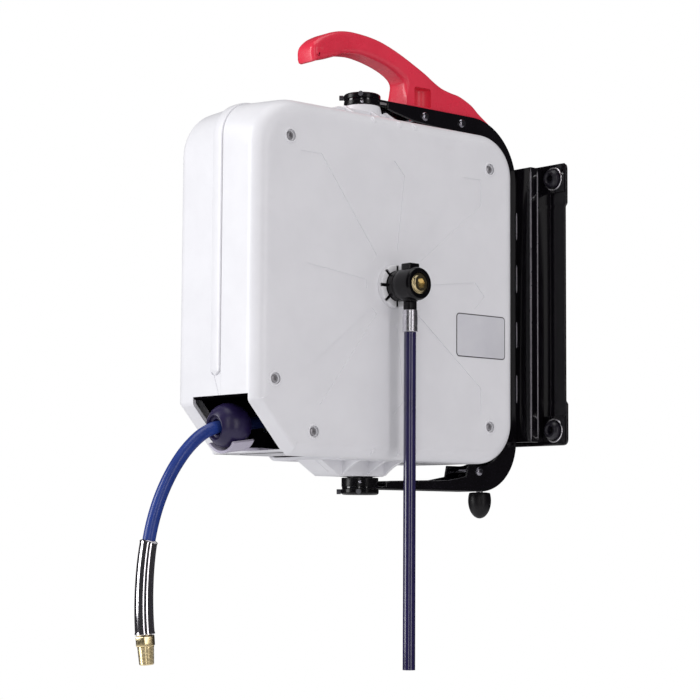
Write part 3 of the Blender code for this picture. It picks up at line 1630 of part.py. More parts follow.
def main():
    """Builds every piece."""
    clear_scene()
    surfaces = make_materials()
    housing = empty("housing_axis", hub(0, PIVOT_Y))
    drum = empty("drum_axis", hub())
    pin, _, _ = pawl_place()
    pawl = empty("pawl_axis", hub(pawl_levels()[0], pin.x, pin.y))
    inlet = empty("inlet_axis", hub(FEED_X))
    outlet = empty("outlet_axis", hub(SEAM_X, *BALL_AT))
    knob = empty("knob_axis", hub(0, KNOB_Y, -ARM_Z))
    bracket = empty("bracket_frame", hub(0, SPINE_Y))
    make_wall_plate(surfaces["black_steel"])
    make_grommets(surfaces["rubber"])
    make_bracket(surfaces["black_steel"])
    make_cross_bolts(surfaces["zinc"])
    make_handle(surfaces["handle"])
    make_knob(surfaces, knob)
    for side in (1, -1):
        make_shell(side, surfaces["shell"], housing)
    make_shell_screws(surfaces["zinc"], housing)
    make_bearings(surfaces["nylon"], housing)
    for end in (1, -1):
        make_pivot(end, surfaces, bracket, housing)
    make_drum(surfaces, drum)
    make_pawl(surfaces, pawl, housing)
    make_spring(surfaces, housing)
    make_hub_ring(surfaces, housing)
    make_inlet(surfaces, inlet)
    make_mouth(surfaces, housing)
    make_outlet(surfaces, outlet)


main()
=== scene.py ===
"""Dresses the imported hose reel: every visible surface, its finish, the light and the camera.

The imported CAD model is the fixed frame. Each sub-assembly is a class that builds its surfaces with numpy,
puts them in place of the plain CAD nodes and gives them their finishes. All lengths are in metres, in the
frame of the CAD model: +Z up, -Y away from the wall, +X towards the inlet swivel.
"""

import logging
import math
from dataclasses import dataclass
from enum import Enum

import bmesh
import bpy
import numpy as np
from mathutils import Matrix, Vector

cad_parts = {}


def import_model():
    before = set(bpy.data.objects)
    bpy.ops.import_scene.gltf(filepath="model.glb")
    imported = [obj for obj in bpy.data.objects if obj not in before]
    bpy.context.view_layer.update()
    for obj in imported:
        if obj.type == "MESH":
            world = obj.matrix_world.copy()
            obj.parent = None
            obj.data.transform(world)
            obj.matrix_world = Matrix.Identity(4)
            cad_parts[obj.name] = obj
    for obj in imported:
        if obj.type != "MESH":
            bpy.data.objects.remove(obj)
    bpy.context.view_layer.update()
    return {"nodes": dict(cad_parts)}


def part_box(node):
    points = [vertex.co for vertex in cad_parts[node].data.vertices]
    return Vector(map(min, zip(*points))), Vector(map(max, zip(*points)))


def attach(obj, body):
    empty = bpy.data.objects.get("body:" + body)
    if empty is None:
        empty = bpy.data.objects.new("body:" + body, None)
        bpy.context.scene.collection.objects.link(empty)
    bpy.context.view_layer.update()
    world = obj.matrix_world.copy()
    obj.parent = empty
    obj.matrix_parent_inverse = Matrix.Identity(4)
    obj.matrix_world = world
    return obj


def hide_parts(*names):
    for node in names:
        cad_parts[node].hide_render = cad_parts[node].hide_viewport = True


LOG = logging.getLogger("hose_reel")

Array = np.ndarray
Pair = tuple[float, float]
Triple = tuple[float, float, float]
Quad = tuple[float, float, float, float]
Point = Triple | Array
Piece = bpy.types.Object
Socket = bpy.types.NodeSocket

# The drum's centre, the seam of the half shells, and the gap between pieces that fit together
HUB = np.array((0.0, -0.284, -0.003))
SEAM_X = 0.011
FIT = 0.0003

# The housing's height and wall, and the axis that it swivels on
HOUSING_HEIGHT = 0.396
HOUSING_WALL = 0.004
PIVOT = HUB + np.array((0.0, 0.015, 0.0))

# The bracket's arms, spine and upper bend, measured from the drum's centre, and the steel's thickness
ARM_Z = 0.2295
SPINE_Y = 0.255
TOP_BEND = 0.076
STEEL = 0.003

# The hoses' radius and bore, and the bore of the pieces on the inlet's shaft
HOSE_R = 0.007
HOSE_BORE_R = 0.004
SHAFT_BORE_R = 0.0078

# The ball stop's centre and the outlet hose's route, from the drum's centre: (y, z)
BALL_AT = (-0.187, -0.164)
OUTLET_ROUTE = (
    (-0.1872, -0.164), (-0.195, -0.165), (-0.203, -0.1664), (-0.212, -0.169), (-0.223, -0.1745),
    (-0.2345, -0.183), (-0.2455, -0.1935), (-0.2555, -0.2055), (-0.2645, -0.2185), (-0.2725, -0.2325),
    (-0.2795, -0.2475), (-0.2852, -0.263), (-0.2897, -0.279), (-0.293, -0.2955), (-0.2953, -0.312),
    (-0.2967, -0.329), (-0.2973, -0.346), (-0.2971, -0.363), (-0.2963, -0.3775), (-0.2953, -0.3885),
)

# The feed hose hangs straight down
FEED_X = 0.1012
FEED_TOP_Z = -0.0574
FEED_END_Z = -0.435
FEED_POINTS = 15

# How far a cutter passes the surface that it cuts, and the least radius that an inset leaves an arc
OVER = 0.002
LEAST_BEND = 0.0006

# Points closer than this are one point
WELD_DISTANCE = 2e-6


class Axis(Enum):
    """The three axes of the frame."""

    X = 0
    Y = 1
    Z = 2


class Body(Enum):
    """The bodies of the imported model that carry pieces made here."""

    BASE = "base"
    HOUSING = "housing"
    DRUM = "drum"
    INLET = "inlet"
    OUTLET = "outlet"
    KNOB = "knob"


# Shapes


def unit(vector: Array) -> Array:
    """Scales a vector, or each row of an array, to length one."""
    return vector / np.linalg.norm(vector, axis=-1, keepdims=True)


def from_hub(outline: Array) -> Array:
    """Moves (y, z) points, measured from the drum's centre, into the frame."""
    return np.asarray(outline, float).reshape(-1, 2) + HUB[1:]


def outlet_route() -> Array:
    """Gives the points that the outlet hose follows, in the frame."""
    return np.c_[np.full(len(OUTLET_ROUTE), SEAM_X), from_hub(OUTLET_ROUTE)]


def turns(count: int) -> Array:
    """Divides a full turn into even angles, in radians."""
    return np.arange(count) * math.tau / count


def travel(line: Array) -> Array:
    """Adds up the steps between the points of a line: how far along it each point lies."""
    return np.concatenate(([0], np.cumsum(np.linalg.norm(np.diff(line, axis=0), axis=1))))


def evenly(line: Array, count: int) -> Array:
    """Reads evenly spaced places from a line of points.

    Args:
        line: The line's points, in order.
        count: How many places to read.

    Returns:
        The places.
    """
    travelled = travel(line)
    at = np.linspace(0, travelled[-1], count)
    return np.stack([np.interp(at, travelled, column) for column in line.T], 1)


@dataclass
class Shape:
    """Points and faces that become one mesh."""

    points: Array
    faces: list[Array]

    def plus(self, *others: "Shape") -> "Shape":
        """Joins other shapes to this one without welding them.

        Args:
            others: The shapes to add.

        Returns:
            One shape that holds them all.
        """
        points, faces = [self.points], list(self.faces)
        start = len(self.points)
        for other in others:
            faces += [block + start for block in other.faces]
            points.append(other.points)
            start += len(other.points)
        return Shape(np.concatenate(points), faces)

    def moved(self, offset: Point) -> "Shape":
        """Shifts the shape by an offset."""
        return Shape(self.points + np.asarray(offset), self.faces)

    def turned(self, degrees: float, axis: Axis, centre: Point) -> "Shape":
        """Turns the shape about an axis through a centre."""
        spin = np.array(Matrix.Rotation(math.radians(degrees), 3, axis.name))
        return Shape((self.points - np.asarray(centre)) @ spin.T + np.asarray(centre), self.faces)


def together(shapes: list[Shape]) -> Shape:
    """Joins a list of shapes without welding them."""
    return shapes[0].plus(*shapes[1:])


def grid_quads(rows: int, columns: int, wrap_rows: bool, wrap_columns: bool) -> Array:
    """Numbers the four corners of each face of a grid of points stored row by row.

    Args:
        rows: Points down the grid.
        columns: Points across the grid.
        wrap_rows: Whether the last row meets the first.
        wrap_columns: Whether the last column meets the first.

    Returns:
        One row of four corner numbers for each face.
    """
    down = np.arange(rows if wrap_rows else rows - 1)
    across = np.arange(columns if wrap_columns else columns - 1)
    i, j = (index.ravel() for index in np.meshgrid(down, across, indexing="ij"))
    below, beside = (i + 1) % rows, (j + 1) % columns
    corners = (i * columns + j, i * columns + beside, below * columns + beside, below * columns + j)
    return np.stack(corners, 1)


def loft(rings: Array, looped: bool = False) -> Shape:
    """Skins a stack of closed rings, with flat end faces unless the last ring joins the first.

    Args:
        rings: An array of rings by points by three.
        looped: Whether the last ring joins the first.

    Returns:
        The skinned shape.
    """
    count, size = rings.shape[:2]
    faces = [grid_quads(count, size, looped, True)]
    if not looped:
        last = np.arange(size) + (count - 1) * size
        faces += [np.arange(size)[::-1][None], last[None]]
    return Shape(rings.reshape(-1, 3), faces)


def on_axis(axis: Axis, along: Array, u: Array, v: Array) -> Array:
    """Turns a place along an axis and two across it, in the order of the other axes, into points."""
    parts = {Axis.X: (along, u, v), Axis.Y: (u, along, v), Axis.Z: (u, v, along)}[axis]
    return np.stack(np.broadcast_arrays(*parts), -1)


def rounded(
    corners: Array, before: Array | float, after: Array | float, steps: int = 8
) -> tuple[Array, Array, Array]:
    """Sets in the edges of a convex outline and turns its corners into arcs.

    A corner's set-in edges meet at place + (on * before + back * after) / sin t, for its whole angle t.
    The arc's radius is the corner's less the mean inset. Its centre is radius / sin (t / 2) further in,
    and its ends are radius / tan (t / 2) from the corner.

    Args:
        corners: Rows of u, v and radius, anticlockwise.
        before: How far the edge before each corner is set in.
        after: How far the edge after each corner is set in.
        steps: Faces in each arc.

    Returns:
        The arcs, as corners by points by two, and each corner's directions back and on.
    """
    place, radius = corners[:, :2], corners[:, 2]
    before, after = (np.broadcast_to(inset, len(corners)) for inset in (before, after))
    back, on = unit(np.roll(place, 1, 0) - place), unit(np.roll(place, -1, 0) - place)
    whole = np.arccos(np.clip((back * on).sum(1), -1, 1))
    half, middle = whole / 2, unit(back + on)
    corner = place + (on * before[:, None] + back * after[:, None]) / np.sin(whole)[:, None]
    r = np.maximum(radius - (before + after) / 2, LEAST_BEND)
    centre = corner + middle * (r / np.sin(half))[:, None]
    first = corner + back * (r / np.tan(half))[:, None] - centre
    a = (math.pi - whole)[:, None] * np.linspace(0, 1, steps + 1)
    c, s = np.cos(a), np.sin(a)
    u = centre[:, :1] + c * first[:, :1] - s * first[:, 1:]
    v = centre[:, 1:] + s * first[:, :1] + c * first[:, 1:]
    return np.stack((u, v), -1), back, on


def bends(start: Array, corner: Array, end: Array, steps: int) -> Array:
    """Draws a smooth bend at each corner: (1 - s)^2 start + 2 s (1 - s) corner + s^2 end.

    Args:
        start: Where each bend starts.
        corner: The corner that each bend rounds.
        end: Where each bend ends.
        steps: Faces in each bend.

    Returns:
        The points of all the bends, in order.
    """
    s = np.linspace(0, 1, steps + 1)[None, :, None]
    bend = (1 - s) ** 2 * start[:, None] + 2 * s * (1 - s) * corner[:, None] + s**2 * end[:, None]
    return bend.reshape(-1, 2)


def softened(corners: Array, radius: float | Array, steps: int = 5) -> Array:
    """Rounds each corner of any closed outline with a smooth bend between its two edges.

    A bend starts and ends on the edges at the given distance from the corner, or at less than half an
    edge where the edge is short.

    Args:
        corners: The outline's corners.
        radius: The distance for all corners, or one for each.
        steps: Faces in each bend.

    Returns:
        The softened outline.
    """
    corners = np.asarray(corners, float)
    back, on = np.roll(corners, 1, 0) - corners, np.roll(corners, -1, 0) - corners
    reach = np.broadcast_to(np.asarray(radius, float), len(corners))
    room = 0.45 * np.minimum(np.linalg.norm(back, axis=1), np.linalg.norm(on, axis=1))
    reach = np.maximum(np.minimum(reach, room), 1e-5)[:, None]
    return bends(corners + unit(back) * reach, corners, corners + unit(on) * reach, steps)


def inward(outline: Array) -> Array:
    """Finds, at each point of an outline, the step that moves both its edges in by one.

    The step lies along the middle of the two edges' normals, longer by one over its share of a normal.

    Args:
        outline: The closed outline, anticlockwise.

    Returns:
        The steps.
    """
    edge = unit(np.roll(outline, -1, 0) - outline)
    normal = np.stack((-edge[:, 1], edge[:, 0]), 1)
    middle = unit(normal + np.roll(normal, 1, 0))
    return middle / np.maximum((middle * normal).sum(1, keepdims=True), 0.4)


def circle(radius: float, count: int, centre: Pair = (0.0, 0.0), start: float = 0.0) -> Array:
    """Places points evenly round a circle."""
    a = start + turns(count)
    return np.asarray(centre) + radius * np.stack((np.cos(a), np.sin(a)), 1)


def arc(centre: Pair | Array, radius: float, start: float, end: float, steps: int) -> Array:
    """Places points evenly on an arc, its angles in degrees."""
    a = np.radians(np.linspace(start, end, steps + 1))
    return np.asarray(centre) + radius * np.stack((np.cos(a), np.sin(a)), 1)


def hexagon(flat: float, centre: Pair, turn: float, bend: float = 0.0012) -> Array:
    """Draws a hexagon with softened corners, by its width across flats and its turn in radians."""
    return softened(circle(flat / math.sqrt(3), 6, centre, turn), bend, 4)


def prism(outline: Array, low: float, high: float, axis: Axis, edge: float = 0.0, steps: int = 4) -> Shape:
    """Extrudes a closed outline along an axis, with quarter-round edges at both ends.

    Near an end the outline moves in by edge (1 - cos a) while the level moves by edge (1 - sin a),
    for a from nought to a right angle.

    Args:
        outline: The closed outline.
        low: The level of the first end.
        high: The level of the last end.
        axis: The axis to extrude along.
        edge: The radius of the edges.
        steps: Faces across each edge.

    Returns:
        The extruded shape.
    """
    outline = np.asarray(outline, float)
    if np.cross(outline, np.roll(outline, -1, 0)).sum() < 0:
        outline = outline[::-1]
    fall, inset = np.zeros(1), np.zeros(1)
    if edge > 0:
        a = np.linspace(0, math.pi / 2, steps + 1)
        fall, inset = edge * (1 - np.sin(a)), edge * (1 - np.cos(a))
    levels = np.concatenate(((low + fall)[::-1], high - fall))
    insets = np.concatenate((inset[::-1], inset))
    across = outline[None] + inward(outline)[None] * insets[:, None, None]
    return loft(on_axis(axis, levels[:, None] + 0 * across[..., 0], across[..., 0], across[..., 1]))


def block(low: Point, high: Point, edge: float = 0.0) -> Shape:
    """Makes a box with rounded edges.

    Args:
        low: The corner with the least x, y and z.
        high: The corner with the greatest.
        edge: The radius of the edges.

    Returns:
        The box.
    """
    corners = np.array(((low[0], low[1]), (high[0], low[1]), (high[0], high[1]), (low[0], high[1])))
    outline = softened(corners, edge, 3) if edge > 0 else corners
    return prism(outline, low[2], high[2], Axis.Z, edge, 3)


def soft_lathe(
    profile: list[Triple] | Array, axis: Axis, centre: Point, count: int = 64, steps: int = 4
) -> Shape:
    """Turns a closed profile with softened corners: (along, r cos a, r sin a) for each angle a.

    Args:
        profile: Rows of place along the axis, radius and softening distance.
        axis: The axis to turn round.
        centre: A point on the axis, from which places along it count.
        count: Faces round the axis.
        steps: Faces in each softened corner.

    Returns:
        The turned shape.
    """
    rows = np.asarray(profile, float)
    outline = softened(rows[:, :2], rows[:, 2], steps)
    along, r = outline[:, :1], np.maximum(outline[:, 1:], 0.0)
    a = turns(count)
    points = on_axis(axis, along + 0 * a, r * np.cos(a), r * np.sin(a)) + np.asarray(centre)
    return loft(points, looped=True)


def smooth_curve(points: Array, count: int) -> Array:
    """Reads evenly spaced places from the smooth curve through given points.

    Between two points the curve is the cubic whose ends are the points and whose end slopes are half
    the step between each point's neighbours.

    Args:
        points: The points that the curve passes.
        count: How many places to read.

    Returns:
        The places on the curve.
    """
    points = np.asarray(points, float)
    slope = np.gradient(points, axis=0)
    t = np.linspace(0, len(points) - 1, 40 * len(points))
    i = np.minimum(t.astype(int), len(points) - 2)
    s = (t - i)[:, None]
    curve = (2 * s**3 - 3 * s**2 + 1) * points[i] + (s**3 - 2 * s**2 + s) * slope[i]
    curve = curve + (3 * s**2 - 2 * s**3) * points[i + 1] + (s**3 - s**2) * slope[i + 1]
    return evenly(curve, count)


def rings_along(path: Array, radii: Array | float, count: int) -> Array:
    """Sets circles square to a path that lies in a plane of constant x.

    A point is path + radius (cos a across + sin a normal), where across is the x axis and normal is
    the path's direction crossed with it.

    Args:
        path: The path's points.
        radii: The radius at each point.
        count: Points round each circle.

    Returns:
        The rings, as rings by points by three.
    """
    along = unit(np.gradient(path, axis=0))
    across = np.broadcast_to(np.array((1.0, 0.0, 0.0)), along.shape)
    normal = unit(np.cross(along, across))
    a = turns(count)
    spread = across[:, None] * np.cos(a)[None, :, None] + normal[:, None] * np.sin(a)[None, :, None]
    radii = np.broadcast_to(np.asarray(radii, float), len(path))
    return path[:, None] + spread * radii[:, None, None]


def tube(path: Array, outer: Array | float, inner: float, count: int) -> Shape:
    """Makes a tube from its outer radius, or one for each point of its path, and its bore's radius."""
    rings = (rings_along(path, outer, count), rings_along(path, inner, count)[::-1])
    return loft(np.concatenate(rings), looped=True)


def make_mesh(name: str, shape: Shape, sharp: float = 32.0) -> Piece:
    """Makes an object of a shape: welded, facing out, and smooth up to an angle.

    Args:
        name: The object's name.
        shape: Its points and faces.
        sharp: The angle in degrees past which an edge stays sharp.

    Returns:
        The new object, linked to the scene.
    """
    mesh = bpy.data.meshes.new(name)
    mesh.from_pydata(shape.points.tolist(), [], [tuple(f) for rows in shape.faces for f in rows.tolist()])
    bm = bmesh.new()
    bm.from_mesh(mesh)
    bmesh.ops.remove_doubles(bm, verts=bm.verts, dist=WELD_DISTANCE)
    bmesh.ops.dissolve_degenerate(bm, edges=bm.edges, dist=WELD_DISTANCE)
    bmesh.ops.recalc_face_normals(bm, faces=bm.faces)
    bm.to_mesh(mesh)
    bm.free()
    mesh.shade_smooth()
    mesh.set_sharp_from_angle(angle=math.radians(sharp))
    made = bpy.data.objects.new(name, mesh)
    bpy.context.scene.collection.objects.link(made)
    return made


def discard(helper: Piece) -> None:
    """Removes a helper object and its mesh.

    Args:
        helper: The object.
    """
    data = helper.data
    bpy.data.objects.remove(helper)
    bpy.data.meshes.remove(data)


def carve(target: Piece, tools: list[Shape], sharp: float = 32.0) -> None:
    """Cuts shapes out of an object and keeps the result as its mesh.

    Args:
        target: The object to change.
        tools: The shapes to cut out.
        sharp: The angle in degrees past which an edge stays sharp.
    """
    helpers = []
    for i, shape in enumerate(tools):
        helper = make_mesh(f"{target.name}_tool_{i}", shape)
        modifier = target.modifiers.new(f"tool_{i}", "BOOLEAN")
        modifier.object, modifier.operation, modifier.solver = helper, "DIFFERENCE", "EXACT"
        helpers.append(helper)
    graph = bpy.context.evaluated_depsgraph_get()
    mesh = bpy.data.meshes.new_from_object(target.evaluated_get(graph))
    target.modifiers.clear()
    old, target.data = target.data, mesh
    bpy.data.meshes.remove(old)
    for helper in helpers:
        discard(helper)
    mesh.materials.clear()
    mesh.shade_smooth()
    mesh.set_sharp_from_angle(angle=math.radians(sharp))


def extend(target: Piece, shape: Shape, sharp: float = 32.0) -> None:
    """Adds a closed shape to an object's mesh, beside what it has.

    Args:
        target: The object to add to.
        shape: The shape to add.
        sharp: The angle in degrees past which an edge stays sharp.
    """
    extra = make_mesh(f"{target.name}_extra", shape, sharp)
    bm = bmesh.new()
    bm.from_mesh(target.data)
    bm.from_mesh(extra.data)
    bm.to_mesh(target.data)
    bm.free()
    discard(extra)
    target.data.shade_smooth()
    target.data.set_sharp_from_angle(angle=math.radians(sharp))


# Finishes


class Lay(Enum):
    """Which way a finish's fine relief runs."""

    EVEN = (1.0, 1.0, 1.0)
    DRAWN_X = (0.02, 1.0, 1.0)
    DRAWN_Z = (1.0, 1.0, 0.02)


@dataclass
class Graph:
    """Adds the nodes of one tree and joins them."""

    tree: bpy.types.NodeTree

    def add(self, kind: str, values: dict | None = None, **settings: object) -> bpy.types.Node:
        """Adds a node, sets it and fills or joins its inputs.

        Args:
            kind: The node's type.
            values: For each input, its value or the output that feeds it.
            settings: The node's own settings.

        Returns:
            The node.
        """
        node = self.tree.nodes.new(kind)
        for name, value in settings.items():
            setattr(node, name, value)
        for key, value in (values or {}).items():
            if isinstance(value, Socket):
                self.tree.links.new(value, node.inputs[key])
            else:
                node.inputs[key].default_value = value
        return node

    def math(self, operation: str, first: object, second: object) -> Socket:
        """Works out one sum on two numbers."""
        return self.add("ShaderNodeMath", {0: first, 1: second}, operation=operation).outputs[0]

    def noise(self, place: Socket, scale: object, detail: float) -> Socket:
        """Reads a cloud pattern."""
        values = {"Vector": place, "Scale": scale, "Detail": detail, "Roughness": 0.6}
        return self.add("ShaderNodeTexNoise", values).outputs[0]

    def span(self, value: object, start: float, end: float, low: object, high: object) -> Socket:
        """Carries a value from one range to another."""
        values = {"Value": value, "From Min": start, "From Max": end, "To Min": low, "To Max": high}
        return self.add("ShaderNodeMapRange", values).outputs[0]

    def blend(self, share: object, first: object, second: object) -> Socket:
        """Mixes two colours."""
        return self.add("ShaderNodeMix", {0: share, 6: first, 7: second}, data_type="RGBA").outputs[2]


class Effect(Enum):
    """The surface effects that several finishes share, each a node group: its name, inputs and output."""

    RELIEF = ("fine_relief", ("Scale", "Height"), "Normal", "NodeSocketVector")
    DRIFT = ("slow_drift", ("Scale", "Low", "High"), "Value", "NodeSocketFloat")
    DUST = ("settled_dust", ("Amount",), "Mask", "NodeSocketFloat")
    SCUFFS = ("handling_scuffs", ("Scale", "Amount"), "Mask", "NodeSocketFloat")

    def group(self) -> bpy.types.NodeTree:
        """Builds the effect's node group once.

        Returns:
            The group, new or as it was built before.
        """
        title, inputs, output, kind = self.value
        made = bpy.data.node_groups.get(title)
        if made is None:
            made = bpy.data.node_groups.new(title, "ShaderNodeTree")
            made.interface.new_socket(name="Place", in_out="INPUT", socket_type="NodeSocketVector")
            for name in inputs:
                made.interface.new_socket(name=name, in_out="INPUT", socket_type="NodeSocketFloat")
            made.interface.new_socket(name=output, in_out="OUTPUT", socket_type=kind)
            graph = Graph(made)
            sockets = graph.add("NodeGroupInput").outputs[: len(inputs) + 1]
            graph.add("NodeGroupOutput", {0: getattr(self, self.name.lower())(graph, *sockets)})
        return made

    @staticmethod
    def relief(graph: Graph, place: Socket, scale: Socket, height: Socket) -> Socket:
        """Joins fine grain and broader waviness.

        Args:
            graph: The group's nodes.
            place: Where on the surface.
            scale: How fine the grain is.
            height: How high it stands.

        Returns:
            The surface normal.
        """
        fine = graph.noise(place, scale, 2.0)
        broad = graph.noise(place, graph.math("MULTIPLY", scale, 0.13), 1.0)
        both = graph.math("ADD", graph.math("MULTIPLY", fine, 0.6), graph.math("MULTIPLY", broad, 0.9))
        return graph.add("ShaderNodeBump", {"Strength": 1.0, "Distance": height, "Height": both}).outputs[0]

    @staticmethod
    def drift(graph: Graph, place: Socket, scale: Socket, low: Socket, high: Socket) -> Socket:
        """Changes slowly over the surface, between two values."""
        return graph.span(graph.noise(place, scale, 4.0), 0.36, 0.64, low, high)

    @staticmethod
    def dust(graph: Graph, place: Socket, amount: Socket) -> Socket:
        """Settles dust in patches on what faces up.

        Args:
            graph: The group's nodes.
            place: Where on the surface.
            amount: How much settles.

        Returns:
            The dust's share.
        """
        facing = graph.add("ShaderNodeSeparateXYZ", {0: graph.add("ShaderNodeNewGeometry").outputs["Normal"]})
        up = graph.span(facing.outputs["Z"], 0.15, 0.95, 0.0, 1.0)
        cloud = graph.span(graph.noise(place, 35.0, 5.0), 0.42, 0.66, 0.15, 1.0)
        return graph.math("MULTIPLY", graph.math("MULTIPLY", up, cloud), amount)

    @staticmethod
    def scuffs(graph: Graph, place: Socket, scale: Socket, amount: Socket) -> Socket:
        """Draws short scuffs that lie together, as from handling.

        Args:
            graph: The group's nodes.
            place: Where on the surface.
            scale: How close they lie.
            amount: How strong they are.

        Returns:
            The scuffs' share.
        """
        long = graph.add("ShaderNodeVectorMath", {0: place, 1: (1.0, 0.16, 0.5)}, operation="MULTIPLY")
        streaks = graph.noise(long.outputs[0], graph.math("MULTIPLY", scale, 6.0), 3.0)
        patches = graph.noise(place, graph.math("MULTIPLY", scale, 0.4), 2.0)
        lines, where = graph.span(streaks, 0.63, 0.69, 0, 1), graph.span(patches, 0.5, 0.64, 0.0, 1.0)
        return graph.math("MULTIPLY", graph.math("MULTIPLY", lines, where), amount)


@dataclass(frozen=True)
class Finish:
    """A surface finish: two shades that drift, grain, uneven gloss, scuffs and dust."""

    name: str
    color: Triple
    shade: Triple
    rough: Pair
    grain: float = 2200.0
    height: float = 0.000012
    drift: float = 16.0
    metallic: float = 0.0
    coat: float = 0.0
    coat_rough: float = 0.12
    specular: float = 0.5
    dust: float = 0.0
    dust_color: Triple = (0.52, 0.5, 0.47)
    scuffs: float = 0.0
    scuff_color: Triple = (0.5, 0.5, 0.5)
    lay: Lay = Lay.EVEN

    def make(self) -> bpy.types.Material:
        """Builds the finish's material once.

        Returns:
            The material, new or as it was built before.
        """
        known = bpy.data.materials.get(self.name)
        if known is not None:
            return known
        material = bpy.data.materials.new(self.name)
        material.use_nodes = True
        graph = Graph(material.node_tree)
        shader = material.node_tree.nodes["Principled BSDF"]
        place = graph.add("ShaderNodeTexCoord").outputs["Object"]
        stretch = {0: place, 1: self.lay.value}
        drawn = graph.add("ShaderNodeVectorMath", stretch, operation="MULTIPLY").outputs[0]

        def effect(which: Effect, values: dict, where: Socket = drawn) -> Socket:
            """Places one shared effect.

            Args:
                which: The effect.
                values: Its values by name.
                where: The place on the surface.

            Returns:
                What it gives.
            """
            node = graph.add("ShaderNodeGroup", node_tree=which.group())
            material.node_tree.links.new(where, node.inputs["Place"])
            for name, value in values.items():
                node.inputs[name].default_value = value
            return node.outputs[0]

        tone = effect(Effect.DRIFT, {"Scale": self.drift, "Low": 0.0, "High": 1.0}, place)
        color = graph.blend(tone, (*self.color, 1), (*self.shade, 1))
        gloss = effect(Effect.DRIFT, {"Scale": self.drift * 2.7, "Low": self.rough[0], "High": self.rough[1]})
        if self.scuffs > 0:
            scuffs = effect(Effect.SCUFFS, {"Scale": 30.0, "Amount": self.scuffs}, place)
            color = graph.blend(scuffs, color, (*self.scuff_color, 1))
            gloss = graph.math("ADD", gloss, graph.math("MULTIPLY", scuffs, 0.2))
        if self.dust > 0:
            dust = effect(Effect.DUST, {"Amount": self.dust}, place)
            color = graph.blend(dust, color, (*self.dust_color, 1))
            gloss = graph.math("ADD", gloss, graph.math("MULTIPLY", dust, 0.35))
        normal = effect(Effect.RELIEF, {"Scale": self.grain, "Height": self.height})
        links = material.node_tree.links
        for output, name in ((color, "Base Color"), (gloss, "Roughness"), (normal, "Normal")):
            links.new(output, shader.inputs[name])
        shader.inputs["Metallic"].default_value = self.metallic
        shader.inputs["Coat Weight"].default_value = self.coat
        shader.inputs["Coat Roughness"].default_value = self.coat_rough
        shader.inputs["Specular IOR Level"].default_value = self.specular
        return material


# Moulded plastic
WHITE_SHELL = Finish(
    "white_moulded_shell", (0.8, 0.8, 0.83), (0.77, 0.77, 0.8), (0.3, 0.38),
    dust=0.1, dust_color=(0.62, 0.6, 0.57), scuffs=0.12, scuff_color=(0.7, 0.69, 0.7),
)
WHITE_HUB = Finish("white_moulded_hub", (0.78, 0.78, 0.8), (0.74, 0.74, 0.76), (0.32, 0.42), dust=0.12)
# Lilac grey for the white collar under the ball: painted shade
PAINTED_SHADE_COLLAR = Finish("pale_moulded_collar", (0.5, 0.47, 0.57), (0.46, 0.43, 0.53), (0.34, 0.42), dust=0.05)
RED_GRIP = Finish(
    "red_moulded_grip", (0.8, 0.036, 0.075), (0.72, 0.028, 0.06), (0.24, 0.34),
    dust=0.06, dust_color=(0.62, 0.3, 0.3), scuffs=0.18, scuff_color=(0.72, 0.2, 0.22),
)
BLACK_PLASTIC = Finish(
    "black_moulded_plastic", (0.0018, 0.0014, 0.0023), (0.0034, 0.0027, 0.004), (0.22, 0.3),
    specular=0.3, dust=0.02,
)
SWIVEL_BLACK = Finish(
    "black_swivel_body", (0.002, 0.0015, 0.0026), (0.0034, 0.0027, 0.0042), (0.2, 0.28),
    grain=1500.0, height=0.000012, specular=0.3, dust=0.02,
)
GLOSS_KNOB = Finish(
    "black_turned_knob", (0.0024, 0.0018, 0.0028), (0.004, 0.0032, 0.0046), (0.34, 0.44), specular=0.3,
)
# Dull black without gloss: painted shade inside the mouth, on the guide and on the sheet at the mouth's left
# edge
PAINTED_SHADE_BLACK = Finish(
    "matte_black_guide", (0.001, 0.0008, 0.0012), (0.0016, 0.0013, 0.0019), (0.6, 0.7), specular=0.0,
)
NYLON = Finish("natural_nylon", (0.66, 0.64, 0.56), (0.6, 0.58, 0.5), (0.38, 0.5), dust=0.05)

# Rubber and hose
BLACK_RUBBER = Finish(
    "black_rubber_ball", (0.014, 0.008, 0.048), (0.018, 0.011, 0.06), (0.3, 0.37),
    grain=1300.0, height=0.00002, specular=0.5, dust=0.03, dust_color=(0.2, 0.17, 0.3),
)
BUSH_RUBBER = Finish(
    "black_bush_rubber", (0.006, 0.005, 0.01), (0.01, 0.008, 0.015), (0.28, 0.4),
    grain=1500.0, height=0.00003,
)
BLUE_HOSE = Finish(
    "blue_hose_skin", (0.02, 0.05, 0.26), (0.015, 0.038, 0.21), (0.22, 0.32),
    grain=420.0, height=0.000012, drift=24.0, dust=0.05, dust_color=(0.3, 0.33, 0.45),
)
NAVY_HOSE = Finish(
    "navy_hose_skin", (0.014, 0.01, 0.058), (0.019, 0.014, 0.076), (0.18, 0.28),
    grain=420.0, height=0.00001, drift=24.0, coat=1.0, coat_rough=0.07, lay=Lay.DRAWN_Z,
)
# A darker copy of the blue hose: painted shade on the hose's tail inside the guide
PAINTED_SHADE_HOSE = Finish(
    "hose_inside_the_guide", (0.0055, 0.013, 0.064), (0.0045, 0.01, 0.052), (0.4, 0.5), specular=0.2,
)

